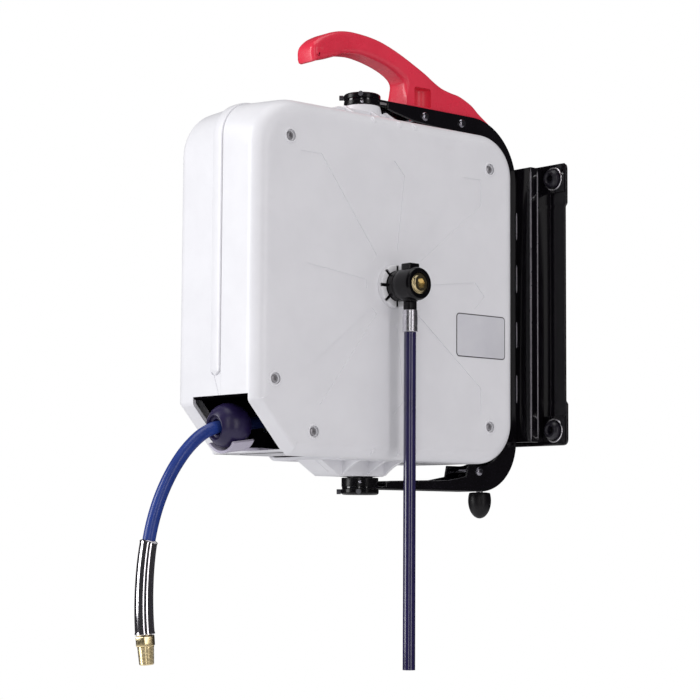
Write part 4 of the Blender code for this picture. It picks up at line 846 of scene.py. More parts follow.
# Metal
BLACK_STEEL = Finish(
    "black_powder_coated_steel", (0.0022, 0.0016, 0.0028), (0.004, 0.0032, 0.005), (0.07, 0.11),
    grain=650.0, height=0.000006, coat=0.4, coat_rough=0.05, specular=0.6,
    dust=0.01, scuffs=0.06, scuff_color=(0.05, 0.05, 0.06),
)
ZINC = Finish(
    "zinc_plated_steel", (0.46, 0.46, 0.47), (0.36, 0.36, 0.38), (0.26, 0.42),
    metallic=1.0, grain=1600.0, height=0.000008, drift=90.0, dust=0.08,
)
CHROME = Finish(
    "polished_chrome", (0.9, 0.88, 0.91), (0.8, 0.78, 0.82), (0.09, 0.15),
    metallic=1.0, grain=900.0, height=0.000004, drift=60.0, lay=Lay.DRAWN_Z,
)
BRASS = Finish(
    "machined_brass", (0.9, 0.76, 0.46), (0.82, 0.66, 0.36), (0.14, 0.24),
    metallic=1.0, grain=1500.0, height=0.000008, drift=80.0,
)
SPRING_STEEL = Finish(
    "blued_spring_steel", (0.16, 0.17, 0.21), (0.24, 0.22, 0.22), (0.28, 0.4),
    metallic=1.0, drift=40.0, grain=1800.0, lay=Lay.DRAWN_X,
)
# Light steel: painted highlight, on the weld beads and as thin strips along the rail's edges
PAINTED_HIGHLIGHT_STEEL = Finish(
    "weld_bead_steel", (0.26, 0.25, 0.27), (0.2, 0.19, 0.21), (0.26, 0.36),
    metallic=0.8, grain=1400.0, drift=90.0,
)
CROSS_BOLT = Finish(
    "bright_bolt_steel", (0.38, 0.37, 0.41), (0.3, 0.29, 0.33), (0.16, 0.24),
    metallic=1.0, grain=1400.0, drift=90.0,
)
DARK_BOLT = Finish(
    "blackened_bolt_steel", (0.055, 0.055, 0.062), (0.085, 0.085, 0.095), (0.22, 0.34),
    metallic=0.9, grain=1400.0, drift=90.0, dust=0.08,
)
SCREW_STEEL = Finish(
    "grey_screw_steel", (0.42, 0.41, 0.43), (0.3, 0.29, 0.31), (0.3, 0.44),
    metallic=0.55, grain=1400.0, drift=120.0,
)
FERRULE_SATIN = Finish(
    "satin_ferrule_metal", (0.76, 0.75, 0.79), (0.68, 0.67, 0.71), (0.27, 0.34),
    metallic=1.0, grain=1200.0, height=0.000006, drift=60.0,
)

# The blank plate and the floor
BLANK_PLATE = Finish(
    "blank_satin_plate", (0.78, 0.78, 0.82), (0.72, 0.72, 0.77), (0.34, 0.44),
    metallic=0.15, grain=1500.0, height=0.000005, lay=Lay.DRAWN_Z,
)
PLATE_BORDER = Finish("dark_plate_border", (0.055, 0.05, 0.06), (0.075, 0.07, 0.08), (0.4, 0.5))
PALE_FLOOR = Finish("pale_floor", (0.86, 0.86, 0.87), (0.84, 0.84, 0.85), (0.5, 0.6), drift=2.0)

# The finishes of the CAD nodes that stay, by material slot
SLOT_FINISHES = {
    "black_steel": BLACK_STEEL, "shell": WHITE_SHELL,
    "handle": RED_GRIP, "black_plastic": BLACK_PLASTIC,
    "nylon": NYLON, "zinc": ZINC,
    "spring_steel": SPRING_STEEL, "chrome": CHROME,
    "brass": BRASS, "rubber": BLACK_RUBBER,
    "hose": BLUE_HOSE, "feed_hose": NAVY_HOSE,
}

# The finishes of the few nodes that differ from their slot's: the hose's tail and the guide inside the mouth
# carry painted shade
NODE_FINISHES = {"hose_tail": PAINTED_SHADE_HOSE, "mouth_guide": PAINTED_SHADE_BLACK}
NODE_FINISHES |= {f"{end}_cap_screw_{i}": DARK_BOLT for end in ("upper", "lower") for i in (1, 2)}


def dress(piece: Piece, finish: Finish) -> None:
    """Gives a piece one finish on all its faces.

    Args:
        piece: The piece.
        finish: Its finish.
    """
    material = finish.make()
    slots = piece.material_slots
    if not slots:
        piece.data.materials.append(material)
        return
    for spot in slots:
        spot.material = material


def place_piece(piece: Piece, finish: Finish, body: Body, slot: str, *nodes: str) -> Piece:
    """Dresses a piece, sets it on its body and hides the CAD nodes that it replaces.

    Args:
        piece: The piece.
        finish: Its finish.
        body: The body that it rides on.
        slot: The record's material slot. Not used.
        nodes: The CAD nodes that it replaces.

    Returns:
        The same piece.
    """
    dress(piece, finish)
    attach(piece, body.value)
    if nodes:
        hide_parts(*nodes)
    LOG.info("%s: %d faces on %s", piece.name, len(piece.data.polygons), body.value)
    return piece


def across_node(node: str) -> Pair:
    """Gives the least and the greatest x of a CAD node."""
    low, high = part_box(node)
    return low[0], high[0]


@dataclass
class Studio:
    """The camera at the photograph's angle, the soft lights, the white surround and the pale floor."""

    target: Triple = (-0.0004, -0.2852, -0.071)
    azimuth: float = 48.88
    climb: float = 5.14
    roll: float = 0.354
    distance: float = 2.363
    lens: float = 104.2
    sensor: float = 36.0
    lamps: tuple[tuple[str, Triple, Pair, float, Triple], ...] = (
        ("key", (-1.6, -3.1, 0.9), (1.3, 3.2), 78.0, (0.985, 0.99, 1.0)),
        ("front", (2.0, -2.3, 0.5), (0.5, 2.8), 11.0, (1.0, 0.985, 0.985)),
        ("fill", (3.1, -0.4, 0.4), (0.7, 3.0), 17.0, (1.0, 0.97, 0.985)),
        ("top", (0.3, -0.5, 2.6), (1.8, 1.8), 18.0, (1.0, 1.0, 1.0)),
    )
    seen: tuple[Quad, float] = ((1, 1, 1, 1), 1.0)
    soft: tuple[Quad, float] = ((1.0, 0.985, 1.0, 1), 0.47)
    mirrored: tuple[Quad, float] = ((0.95, 0.93, 1.0, 1), 0.035)
    floor_z: float = -1.45
    floor_size: float = 7.0
    floor_corner: float = 0.8
    floor_thick: float = 0.02

    def camera(self) -> None:
        """Sets the camera where the photograph was taken from.

        It looks along (-sin t cos c, cos t cos c, sin c) for its azimuth t and climb c, and its roll
        turns the right and up directions about that line.
        """
        turn, rise, lean = (math.radians(v) for v in (self.azimuth, self.climb, self.roll))
        level = np.array((-math.sin(turn), math.cos(turn), 0.0))
        forward = level * math.cos(rise) + (0.0, 0.0, math.sin(rise))
        right = np.array((math.cos(turn), math.sin(turn), 0.0))
        up = np.cross(right, forward)
        level_right = right * math.cos(lean) + up * math.sin(lean)
        level_up = up * math.cos(lean) - right * math.sin(lean)
        place = np.asarray(self.target) - forward * self.distance
        data = bpy.data.cameras.new("camera")
        data.lens, data.sensor_width = self.lens, self.sensor
        made = bpy.data.objects.new("camera", data)
        axes = np.stack((level_right, level_up, -forward), 1)
        made.matrix_world = Matrix.Translation(Vector(place)) @ Matrix(axes.tolist()).to_4x4()
        bpy.context.scene.collection.objects.link(made)
        bpy.context.scene.camera = made

    def lamp(self, name: str, place: Triple, size: Pair, power: float, color: Triple) -> None:
        """Hangs a soft rectangular light that faces the reel.

        Args:
            name: The light's name.
            place: Where it hangs.
            size: Its width and height.
            power: Its power in watts.
            color: Its colour.
        """
        data = bpy.data.lights.new(name, "AREA")
        data.shape, data.size, data.size_y = "RECTANGLE", *size
        data.energy, data.color = power, color
        made = bpy.data.objects.new(name, data)
        made.location = place
        aim = Vector(self.target) - Vector(place)
        made.rotation_euler = aim.to_track_quat("-Z", "Y").to_euler()
        bpy.context.scene.collection.objects.link(made)

    def surround(self) -> None:
        """Makes a surround that the camera sees white and that lights the reel softly."""
        world = bpy.data.worlds.new("surround")
        bpy.context.scene.world = world
        world.use_nodes = True
        world.node_tree.nodes.clear()
        graph = Graph(world.node_tree)
        seen, soft, mirrored = (
            graph.add("ShaderNodeBackground", {"Color": color, "Strength": strength}).outputs[0]
            for color, strength in (self.seen, self.soft, self.mirrored)
        )
        path = graph.add("ShaderNodeLightPath").outputs
        unseen = graph.add("ShaderNodeMixShader", {0: path["Is Glossy Ray"], 1: soft, 2: mirrored}).outputs[0]
        whole = graph.add("ShaderNodeMixShader", {0: path["Is Camera Ray"], 1: unseen, 2: seen}).outputs[0]
        graph.add("ShaderNodeOutputWorld", {"Surface": whole})

    def floor(self) -> None:
        """Lays the pale floor: a square sheet with rounded corners."""
        half = self.floor_size / 2
        corners = np.array(((-half, -half), (half, -half), (half, half), (-half, half)))
        outline = softened(corners, self.floor_corner, 12)
        piece = make_mesh("floor", prism(outline, self.floor_z - self.floor_thick, self.floor_z, Axis.Z))
        dress(piece, PALE_FLOOR)

    def build(self) -> None:
        """Sets up the camera, the lights, the surround and the floor."""
        self.camera()
        for lamp in self.lamps:
            self.lamp(*lamp)
        self.surround()
        self.floor()
        bpy.context.scene.view_settings.view_transform = "Standard"
        LOG.info("studio: camera, %d lights, surround and floor", len(self.lamps))


@dataclass
class Hoses:
    """The blue outlet hose and the navy feed hose, as tubes with their real wall and bore."""

    radius: float = HOSE_R
    bore: float = HOSE_BORE_R
    rows: int = 130
    sides: int = 36

    def hose(self, name: str, path: Array) -> Piece:
        """Makes a hose along evenly spaced points."""
        return make_mesh(name, tube(path, self.radius, self.bore, self.sides), 50)

    def build(self, outlet_pieces: list[Piece], feed_pieces: list[Piece]) -> None:
        """Args:
            outlet_pieces: The pieces on the outlet hose. Not used.
            feed_pieces: The pieces on the feed hose. Not used.
        """
        route = outlet_route()
        path = smooth_curve(route, self.rows)
        outlet = self.hose("blue_outlet_hose", path)
        place_piece(outlet, BLUE_HOSE, Body.OUTLET, "hose", "outlet_hose")
        drop = np.linspace(FEED_TOP_Z, FEED_END_Z, FEED_POINTS)
        feed_path = np.stack((np.full_like(drop, FEED_X), np.full_like(drop, HUB[1]), drop), 1)
        feed = self.hose("navy_feed_hose", feed_path)
        place_piece(feed, NAVY_HOSE, Body.INLET, "feed_hose", "feed_hose")


@dataclass
class Housing:
    """The two moulded half shells with their feet, seam bar, sunk rays, screws and blank plate.

    Places are measured from the drum's centre.
    """

    length: float = 0.4
    height: float = HOUSING_HEIGHT
    depth: float = 0.148
    wall: float = HOUSING_WALL
    edge: float = 0.018
    cap_step: float = 0.002
    rim_bend: float = 0.0007
    front_top: float = 0.04
    front_top_growth: Pair = (0.024, 0.017)
    growth_start: float = 0.018
    back: float = 0.05
    chamfer_bend: float = 0.008
    chamfer_top: float = -0.1391
    chamfer_foot: float = -0.148
    bevel: Pair = (0.014, 0.0085)
    bevel_bend: float = 0.0018
    levels: int = 14
    bend_steps: int = 12
    bend_lead: float = 0.0015
    mouth: Pair = (-0.038, 0.06)
    mouth_reach: float = 0.02
    mouth_top: float = -0.131
    mouth_back: float = -0.141
    mouth_deep: float = 0.01
    mouth_lip: float = 0.0075
    cheek: Pair = (0.0015, 0.0002)
    cheek_front: float = 0.0115
    cheek_gap: float = 0.0005
    relief: Triple = (0.0615, -0.066, -0.1923)
    fillers: tuple[tuple[float, ...], ...] = (
        (-0.066, -0.1505, -0.1923, -0.036, -0.136, -0.189),
        (-0.066, -0.1405, -0.1923, 0.0105, -0.064, -0.189),
        (0.0112, -0.1405, -0.1923, 0.0625, -0.064, -0.189),
    )
    cover: tuple[Pair, Pair] = ((-0.0012, 0.0014), (-0.00015, 0.003))
    foot_rise: float = 0.014
    foot_half: float = 0.022
    foot_base: Pair = (-0.066, 0.06)
    foot_flat: Pair = (-0.041, 0.038)
    foot_bend: float = 0.003
    foot_edge: float = 0.0012
    rib_places: Triple = (-0.029, 0.0106, 0.0346)
    rib_curve: tuple[Pair, ...] = (
        (0.0735, -0.012), (0.0725, -0.0062), (0.0643, -0.0028), (0.0502, 0.0008), (0.036, 0.0068),
        (0.027, 0.012), (0.0212, 0.016),
    )
    rib_root: tuple[Pair, Pair] = ((0.058, 0.0025), (0.0712, 0.013))
    rib_overlap: float = 0.004
    rib_width: float = 0.0042
    rib_edge: float = 0.0007
    collar: Quad = (0.0195, 0.0215, 0.0236, 0.2212)
    collar_foot: float = 0.003
    pad: Pair = (0.2152, 0.0215)
    pad_overlap: float = 0.0015
    pad_slope: float = 0.0025
    screws: tuple[Pair, ...] = (
        (-0.1545, 0.1545), (0.1545, 0.1545), (0.1545, -0.1545), (-0.173, -0.1145), (-0.118, -0.17),
    )
    screw_end: float = -0.0657
    shank: float = 0.0025
    sink: Pair = (0.0066, 0.0026)
    seat_ring: Pair = (0.0026, 0.0011)
    head: Pair = (0.0046, 0.0022)
    slot: Triple = (0.0048, 0.0009, 0.0011)
    slot_turns: Pair = (20.0, 110.0)
    ray_start: float = 0.042
    ray_angle: float = 7.0
    ray_tips: Pair = (0.146, 0.198)
    ray_bend: float = 0.0012
    ray_depth: float = 0.0008
    bar_width: float = 0.016
    bar_height: float = 0.002
    bar_back: float = -0.076
    bar_low: float = -0.1085
    bar_sink: float = 0.0016
    bar_ends: Pair = (0.006, 0.004)
    groove: Pair = (0.0011, 0.0013)
    groove_top: float = 0.15
    parting: tuple[Pair, Pair] = ((0.0007, -0.1098), (0.0092, -0.1315))
    parting_cut: Pair = (0.0007, 0.0006)
    plate: Quad = (0.099, 0.18, -0.0735, -0.022)
    plate_corner: float = 0.005
    plate_border: float = 0.0012
    plate_rise: Pair = (0.0003, 0.0005)

    def corners(self) -> Array:
        """Lists the side outline's corners.

        Returns:
            Rows of y, z and radius, anticlockwise from the chamfer's top.
        """
        half, rise, bend, back = self.length / 2, self.height / 2, self.chamfer_bend, self.back
        front = [(-half, self.chamfer_top, bend), (self.chamfer_foot, -rise, bend)]
        return np.array([*front, (half, -rise, back), (half, rise, back), (-half, rise, self.front_top)])

    def ring(self, x: float, chamfer_x: float, inset: float, chamfer_inset: float) -> Array:
        """Draws one ring of a shell, with its own place and inset along the chamfer.

        The radius of the front top corner grows evenly towards the outer face. Along each arc, x runs from
        one edge's place to the other's. One more point stands on each straight beside an arc.

        Args:
            x: The place across the housing.
            chamfer_x: The place across the housing along the chamfer.
            inset: How far the outline is set in.
            chamfer_inset: How far the chamfer is set in.

        Returns:
            The ring's points in the frame.
        """
        corners = self.corners()
        outward = (abs(x) - self.growth_start) / (self.depth / 2 - self.growth_start)
        growth = self.front_top_growth[0] if x > 0 else self.front_top_growth[1]
        corners[4, 2] += growth * min(max(outward, 0.0), 1.0)
        after = np.array((chamfer_inset, inset, inset, inset, inset))
        at_after = np.array((chamfer_x, x, x, x, x))
        before, at_before = np.roll(after, 1), np.roll(at_after, 1)
        bend, back, on = rounded(corners, before, after, self.bend_steps)
        lead = self.bend_lead
        first, last = bend[:, :1] + back[:, None] * lead, bend[:, -1:] + on[:, None] * lead
        share = np.concatenate(((0.0,), np.linspace(0, 1, self.bend_steps + 1), (1.0,)))
        across = at_before[:, None] * (1 - share) + at_after[:, None] * share
        return np.c_[across.ravel(), from_hub(np.concatenate((first, bend, last), 1))]

    def flat_ring(self, x: float, inset: float) -> Array:
        """Draws a ring that lies in one plane, set in evenly."""
        return self.ring(x, x, inset, inset)

    def edge_rings(self, side: int, skin: float) -> list[Array]:
        """Draws the rings round a shell's edge, from the seam side to the outer face.

        Round edges follow x = face - r (1 - sin a) and inset = r (1 - cos a). Along the chamfer a flat
        bevel with softened corners takes their place.

        Args:
            side: 1 for the inlet side and -1 for the other.
            skin: How far inside the outer surface the rings lie.

        Returns:
            The rings.
        """
        face, r = self.depth / 2 - skin, self.edge - skin
        a = np.linspace(0, math.pi / 2, self.levels + 1)
        x, inset = face - r * (1 - np.sin(a)), skin + r * (1 - np.cos(a))
        wide, deep = self.bevel
        low, high = (face - wide + skin, skin), (face, skin + deep - skin * 0.4)
        line = np.array(((face - r, skin), low, high, (face, self.edge)))
        before, here, after = line[:-2], line[1:-1], line[2:]
        start, end = (here + unit(other - here) * self.bevel_bend for other in (before, after))
        fine = np.concatenate((line[:1], bends(start, here, end, 6), line[-1:]))
        chamfer_x, chamfer_inset = evenly(fine, self.levels + 1).T
        rows = zip(side * x, side * chamfer_x, inset, chamfer_inset)
        return [self.ring(*row) for row in rows]

    def shell(self, side: int) -> Shape:
        """Makes one half shell: its outer skin, its rim at the seam and its inner skin.

        Args:
            side: 1 for the inlet side and -1 for the other.

        Returns:
            The half shell.
        """
        rim = SEAM_X if side > 0 else SEAM_X - FIT
        face, inside = side * self.depth / 2, side * (self.depth / 2 - self.wall)
        flat, soft = self.edge + self.cap_step, self.rim_bend
        outer, inner = self.edge_rings(side, 0.0)[::-1], self.edge_rings(side, self.wall)
        cap, inner_cap = self.flat_ring(face, flat), self.flat_ring(inside, flat)
        lip = ((rim + side * soft, 0.0), (rim, soft), (rim, self.wall))
        return loft(np.stack([cap, *outer, *(self.flat_ring(*at) for at in lip), *inner, inner_cap]))

    def mouth_tool(self) -> Shape:
        """Makes the cutter of the mouth.

        Returns:
            The cutter.
        """
        front, low = -self.length / 2, -self.height / 2
        outline = (
            (front - self.mouth_reach, low + self.mouth_lip), (self.mouth_back, low + self.mouth_lip),
            (self.mouth_back, low + self.mouth_deep), (front + self.mouth_deep, self.mouth_top),
            (front - self.mouth_reach, self.mouth_top),
        )
        return prism(from_hub(outline), *self.mouth, Axis.X)

    def mouth_cheek(self) -> None:
        """Makes a black sheet inside the mouth's left edge: painted shade over the shell's inner face there.
        """
        front, floor, back = -self.length / 2, self.mouth_deep - self.height / 2, -self.length / 4
        top, gap = self.mouth_top - self.cheek_gap, self.cheek_gap
        outline = (
            (front + self.cheek_front, top), (self.mouth_back - gap, floor + gap), (back, floor + gap),
            (back, top),
        )
        low, high = (self.mouth[0] - away for away in self.cheek)
        piece = make_mesh("mouth_cheek", prism(from_hub(outline), low, high, Axis.X))
        place_piece(piece, PAINTED_SHADE_BLACK, Body.HOUSING, "black_plastic")

    def ray_tools(self) -> list[Shape]:
        """Makes the cutters of the eight sunk rays: wedges with square-cornered tips, 45 degrees apart.

        Returns:
            The cutters.
        """
        face, spread, start = self.depth / 2, math.tan(math.radians(self.ray_angle)), self.ray_start
        tools = []
        for i in range(8):
            tip = self.ray_tips[i % 2]
            shoulder = tip / (1 + spread)
            outline = (
                (start, -start * spread), (shoulder, -shoulder * spread), (tip, 0.0),
                (shoulder, shoulder * spread), (start, start * spread),
            )
            soft = from_hub(softened(outline, self.ray_bend, 3))
            wedge = prism(soft, face - self.ray_depth, face + 2 * OVER, Axis.X)
            tools.append(wedge.turned(45.0 * i, Axis.X, HUB))
        return tools

    def foot(self, side: int, end: int) -> list[Shape]:
        """Makes a swivel foot's half on one shell, with its curved ribs.

        Args:
            side: 1 for the inlet side and -1 for the other.
            end: 1 for the top and -1 for the bottom.

        Returns:
            The foot and its three ribs.
        """
        outer = self.height / 2
        root, flat = end * (outer - self.wall / 2), end * (outer + self.foot_rise)
        (base_first, base_last), (first, last) = self.foot_base, self.foot_flat
        outline = from_hub(((base_first, root), (base_last, root), (last, flat), (first, flat)))
        span = (SEAM_X, self.foot_half) if side > 0 else (-self.foot_half, SEAM_X - FIT)
        made = [prism(softened(outline, self.foot_bend, 5), *span, Axis.X, self.foot_edge)]
        start = self.foot_half - self.rib_overlap
        curve = smooth_curve(self.rib_curve, 24) + (0, outer)
        root_line = [(x, outer - deep) for x, deep in self.rib_root]
        rib = np.concatenate((curve, ((start, curve[-1, 1]), (start, root_line[0][1])), root_line))
        rib = rib * (side, end) + (0, HUB[2])
        half = self.rib_width / 2
        for y in self.rib_places:
            made.append(prism(rib, HUB[1] + y - half, HUB[1] + y + half, Axis.Y, self.rib_edge))
        return made

    def upper_collar(self) -> Shape:
        """Makes the upper foot's tapered collar round the swivel bush.

        Returns:
            The collar.
        """
        bore, narrow, wide, top = self.collar
        low = self.height / 2 + self.foot_rise - self.collar_foot
        profile = [
            (low, bore, 0), (low, wide, 0.0006), (low + self.collar_foot, wide, 0.001),
            (top, narrow, 0.0012), (top, bore, 0.0004),
        ]
        return soft_lathe(profile, Axis.Z, PIVOT, 72)

    def lower_pad(self) -> None:
        """Makes the lower foot's last step round its swivel bush."""
        low, half = self.pad
        base = self.height / 2 + self.foot_rise - self.pad_overlap
        (first, last), slope = self.foot_flat, self.pad_slope
        outline = (
            (first - slope, -base), (last + slope, -base), (last - 2 * slope, -low),
            (first + 2 * slope, -low),
        )
        pad = make_mesh("lower_foot_pad", prism(from_hub(outline), -half, half, Axis.X, self.foot_edge))
        bore = circle(self.collar[0] + 0.0001, 64, PIVOT[:2])
        carve(pad, [prism(bore, HUB[2] - low - 2 * OVER, HUB[2] - base + 2 * OVER, Axis.Z)])
        place_piece(pad, WHITE_SHELL, Body.HOUSING, "shell")

    def bar(self) -> Shape:
        """Makes the half-round bar along the seam.

        At each place on its line, from the top over the rounded corner down the front, the bar stands out
        by height * (sin a)^0.4 at x = middle - half width * cos a, and both shrink to nothing round its
        ends.

        Returns:
            The bar.
        """
        front, top, r = -self.length / 2, self.height / 2, self.front_top
        centre = np.array((front + r, top - r))
        back = np.linspace((self.bar_back, top), (centre[0], top), 24, endpoint=False)
        down = np.linspace((front, centre[1]), (front, self.bar_low), 70)[1:]
        line = np.concatenate((back, arc(centre, r, 90, 180, 29), down))
        along = unit(np.gradient(line, axis=0))
        out = np.stack((along[:, 1], -along[:, 0]), 1)
        travelled = travel(line)
        left = np.minimum(travelled, travelled[-1] - travelled)
        plan_end, rise_end = self.bar_ends
        plan = np.sqrt(np.clip(1 - (1 - np.minimum(left / plan_end, 1)) ** 2, 0.0006, 1))
        rise = np.sqrt(np.clip(1 - (1 - np.minimum(left / rise_end, 1)) ** 2, 0.0, 1))
        half = self.bar_width / 2
        b = np.linspace(0, math.pi, 17)
        x = SEAM_X - FIT - half - half * plan[:, None] * np.cos(b)
        up = self.bar_height * rise[:, None] * np.sin(b) ** 0.4
        over = line[:, None] + out[:, None] * up[..., None]
        under = line[:, None] - out[:, None] * self.bar_sink * np.ones_like(up)[..., None]
        points = np.concatenate((np.dstack((x, over)), np.dstack((x, under))[:, ::-1]), 1)
        points[..., 1:] += HUB[1:]
        return loft(points)

    def parting_line(self) -> Shape:
        """Makes the cutter of the fine line that slants from the bar's end to the mouth.

        Returns:
            The cutter.
        """
        (high_x, high_z), (low_x, low_z) = self.parting
        front, half, deep = HUB[1] - self.length / 2, self.parting_cut[0] / 2, self.parting_cut[1]
        outline = np.array(
            ((high_x - half, high_z), (low_x - half, low_z), (low_x + half, low_z), (high_x + half, high_z))
        )
        return prism(outline + (0, HUB[2]), front - OVER, front + deep, Axis.Y)

    def bar_groove(self) -> list[Shape]:
        """Makes the cutters of the fine groove along the bar's left root and round its end.

        Returns:
            The two cutters.
        """
        front, half = HUB[1] - self.length / 2, self.bar_width / 2
        thin, deep = self.groove
        middle, end = SEAM_X - FIT - half, HUB[2] + (self.bar_low + half)
        way = arc((0.0, 0.0), 1.0, -180, 0, 24)
        outline = np.concatenate((way * (half + thin), (way * (half - thin * 0.4))[::-1]))
        first, last = front - OVER, front + deep
        left, right = middle - half - thin, middle - half + thin * 0.3
        side = block((left, first, end), (right, last, HUB[2] + self.groove_top))
        return [prism(outline + (middle, end), first, last, Axis.Y), side]

    def screw_seat(self, y: float, z: float) -> tuple[Shape, Shape]:
        """Makes a screw's sunk seat and the raised ring round it.

        Args:
            y: The screw's place along the housing.
            z: Its height.

        Returns:
            The cutter of the seat, and the ring.
        """
        face, (radius, depth), (wide, rise) = self.depth / 2, self.sink, self.seat_ring
        at = HUB + np.array((0, y, z))
        sink = [
            (face - depth, 0.0, 0), (face - depth, radius, 0.0004), (face + OVER, radius, 0),
            (face + OVER, 0.0, 0),
        ]
        ring = [
            (face - 0.001, radius, 0), (face - 0.001, radius + wide, 0),
            (face + rise - 0.0002, radius + wide - 0.0006, 0.0007), (face + rise, radius, 0.0004),
        ]
        return soft_lathe(sink, Axis.X, at, 40), soft_lathe(ring, Axis.X, at, 40)

    def screw(self, number: int, y: float, z: float) -> None:
        """Makes a pan-head screw with a cross recess.

        Args:
            number: Its number among the CAD nodes.
            y: Its place along the housing.
            z: Its height.
        """
        start, (r, rise) = self.depth / 2 - self.sink[1] + FIT, self.head
        at, top = HUB + np.array((0, y, z)), start + rise
        profile = [
            (self.screw_end, 0.0, 0), (self.screw_end, self.shank, 0.0004), (start, self.shank, 0),
            (start, r, 0.0003), (start + rise * 0.55, r, 0.0009), (top, r * 0.55, 0.0008), (top, 0.0, 0),
        ]
        piece = make_mesh(f"housing_screw_{number}", soft_lathe(profile, Axis.X, at, 40))
        long, wide, deep = self.slot
        slot = block((top - deep, -long / 2, -wide / 2), (top + OVER, long / 2, wide / 2)).moved(at)
        carve(piece, [slot.turned(turn, Axis.X, at) for turn in self.slot_turns])
        place_piece(piece, SCREW_STEEL, Body.HOUSING, "zinc", f"shell_screw_{number}")

    def bare_plate(self) -> None:
        """Makes the bare plate on the inlet side: a satin sheet in a thin dark border."""
        low_y, high_y, low_z, high_z = self.plate
        face, r, edge = self.depth / 2, self.plate_corner, 0.0001
        corners = np.array(((low_y, low_z, r), (high_y, low_z, r), (high_y, high_z, r), (low_y, high_z, r)))
        outside, inside = (
            from_hub(rounded(corners, inset, inset)[0]) for inset in (0.0, self.plate_border)
        )
        border = prism(outside, face - edge, face + self.plate_rise[0], Axis.X, edge, 2)
        sheet = prism(inside, face, face + self.plate_rise[1], Axis.X, edge, 2)
        place_piece(make_mesh("plate_border", border), PLATE_BORDER, Body.HOUSING, "black_plastic")
        place_piece(make_mesh("blank_plate", sheet), BLANK_PLATE, Body.HOUSING, "shell")

    def half_shell(self, side: int, name: str) -> None:
        """Makes one half shell with all that is cut into it and stands out of it.

        Args:
            side: 1 for the inlet side and -1 for the other.
            name: The CAD node that it replaces.
        """
        piece = make_mesh(f"moulded_{name}", self.shell(side))
        relief = block((-self.depth, -self.length, -self.height), self.relief).moved(HUB)
        tools = [self.mouth_tool(), relief]
        extras = self.foot(side, 1) + self.foot(side, -1)
        if side > 0:
            tools += self.ray_tools()
            for y, z in self.screws:
                sink, ring = self.screw_seat(y, z)
                tools.append(sink)
                extras.append(ring)
            (left, right), (out, deep) = self.cover
            front = -self.length / 2
            low = (SEAM_X + left, front + out, self.mouth_top)
            high = (SEAM_X + right, front + deep, self.bar_low)
            extras += [self.upper_collar(), block(low, high).moved(HUB)]
        else:
            extras.append(self.bar())
            tools += [self.parting_line(), *self.bar_groove()]
        for filler in self.fillers:
            if (filler[3] > SEAM_X) == (side > 0):
                extras.append(block(filler[:3], filler[3:]).moved(HUB))
        carve(piece, tools)
        extend(piece, together(extras))
        place_piece(piece, WHITE_SHELL, Body.HOUSING, "shell", name)

    def build(self) -> None:
        """Builds both shells, the screws, the lower foot's pad, the painted shade sheet in the mouth and the
        bare plate.
        """
        self.half_shell(1, "right_shell")
        self.half_shell(-1, "left_shell")
        for number, (y, z) in enumerate(self.screws, 1):
            self.screw(number, y, z)
        self.lower_pad()
        self.mouth_cheek()
        self.bare_plate()


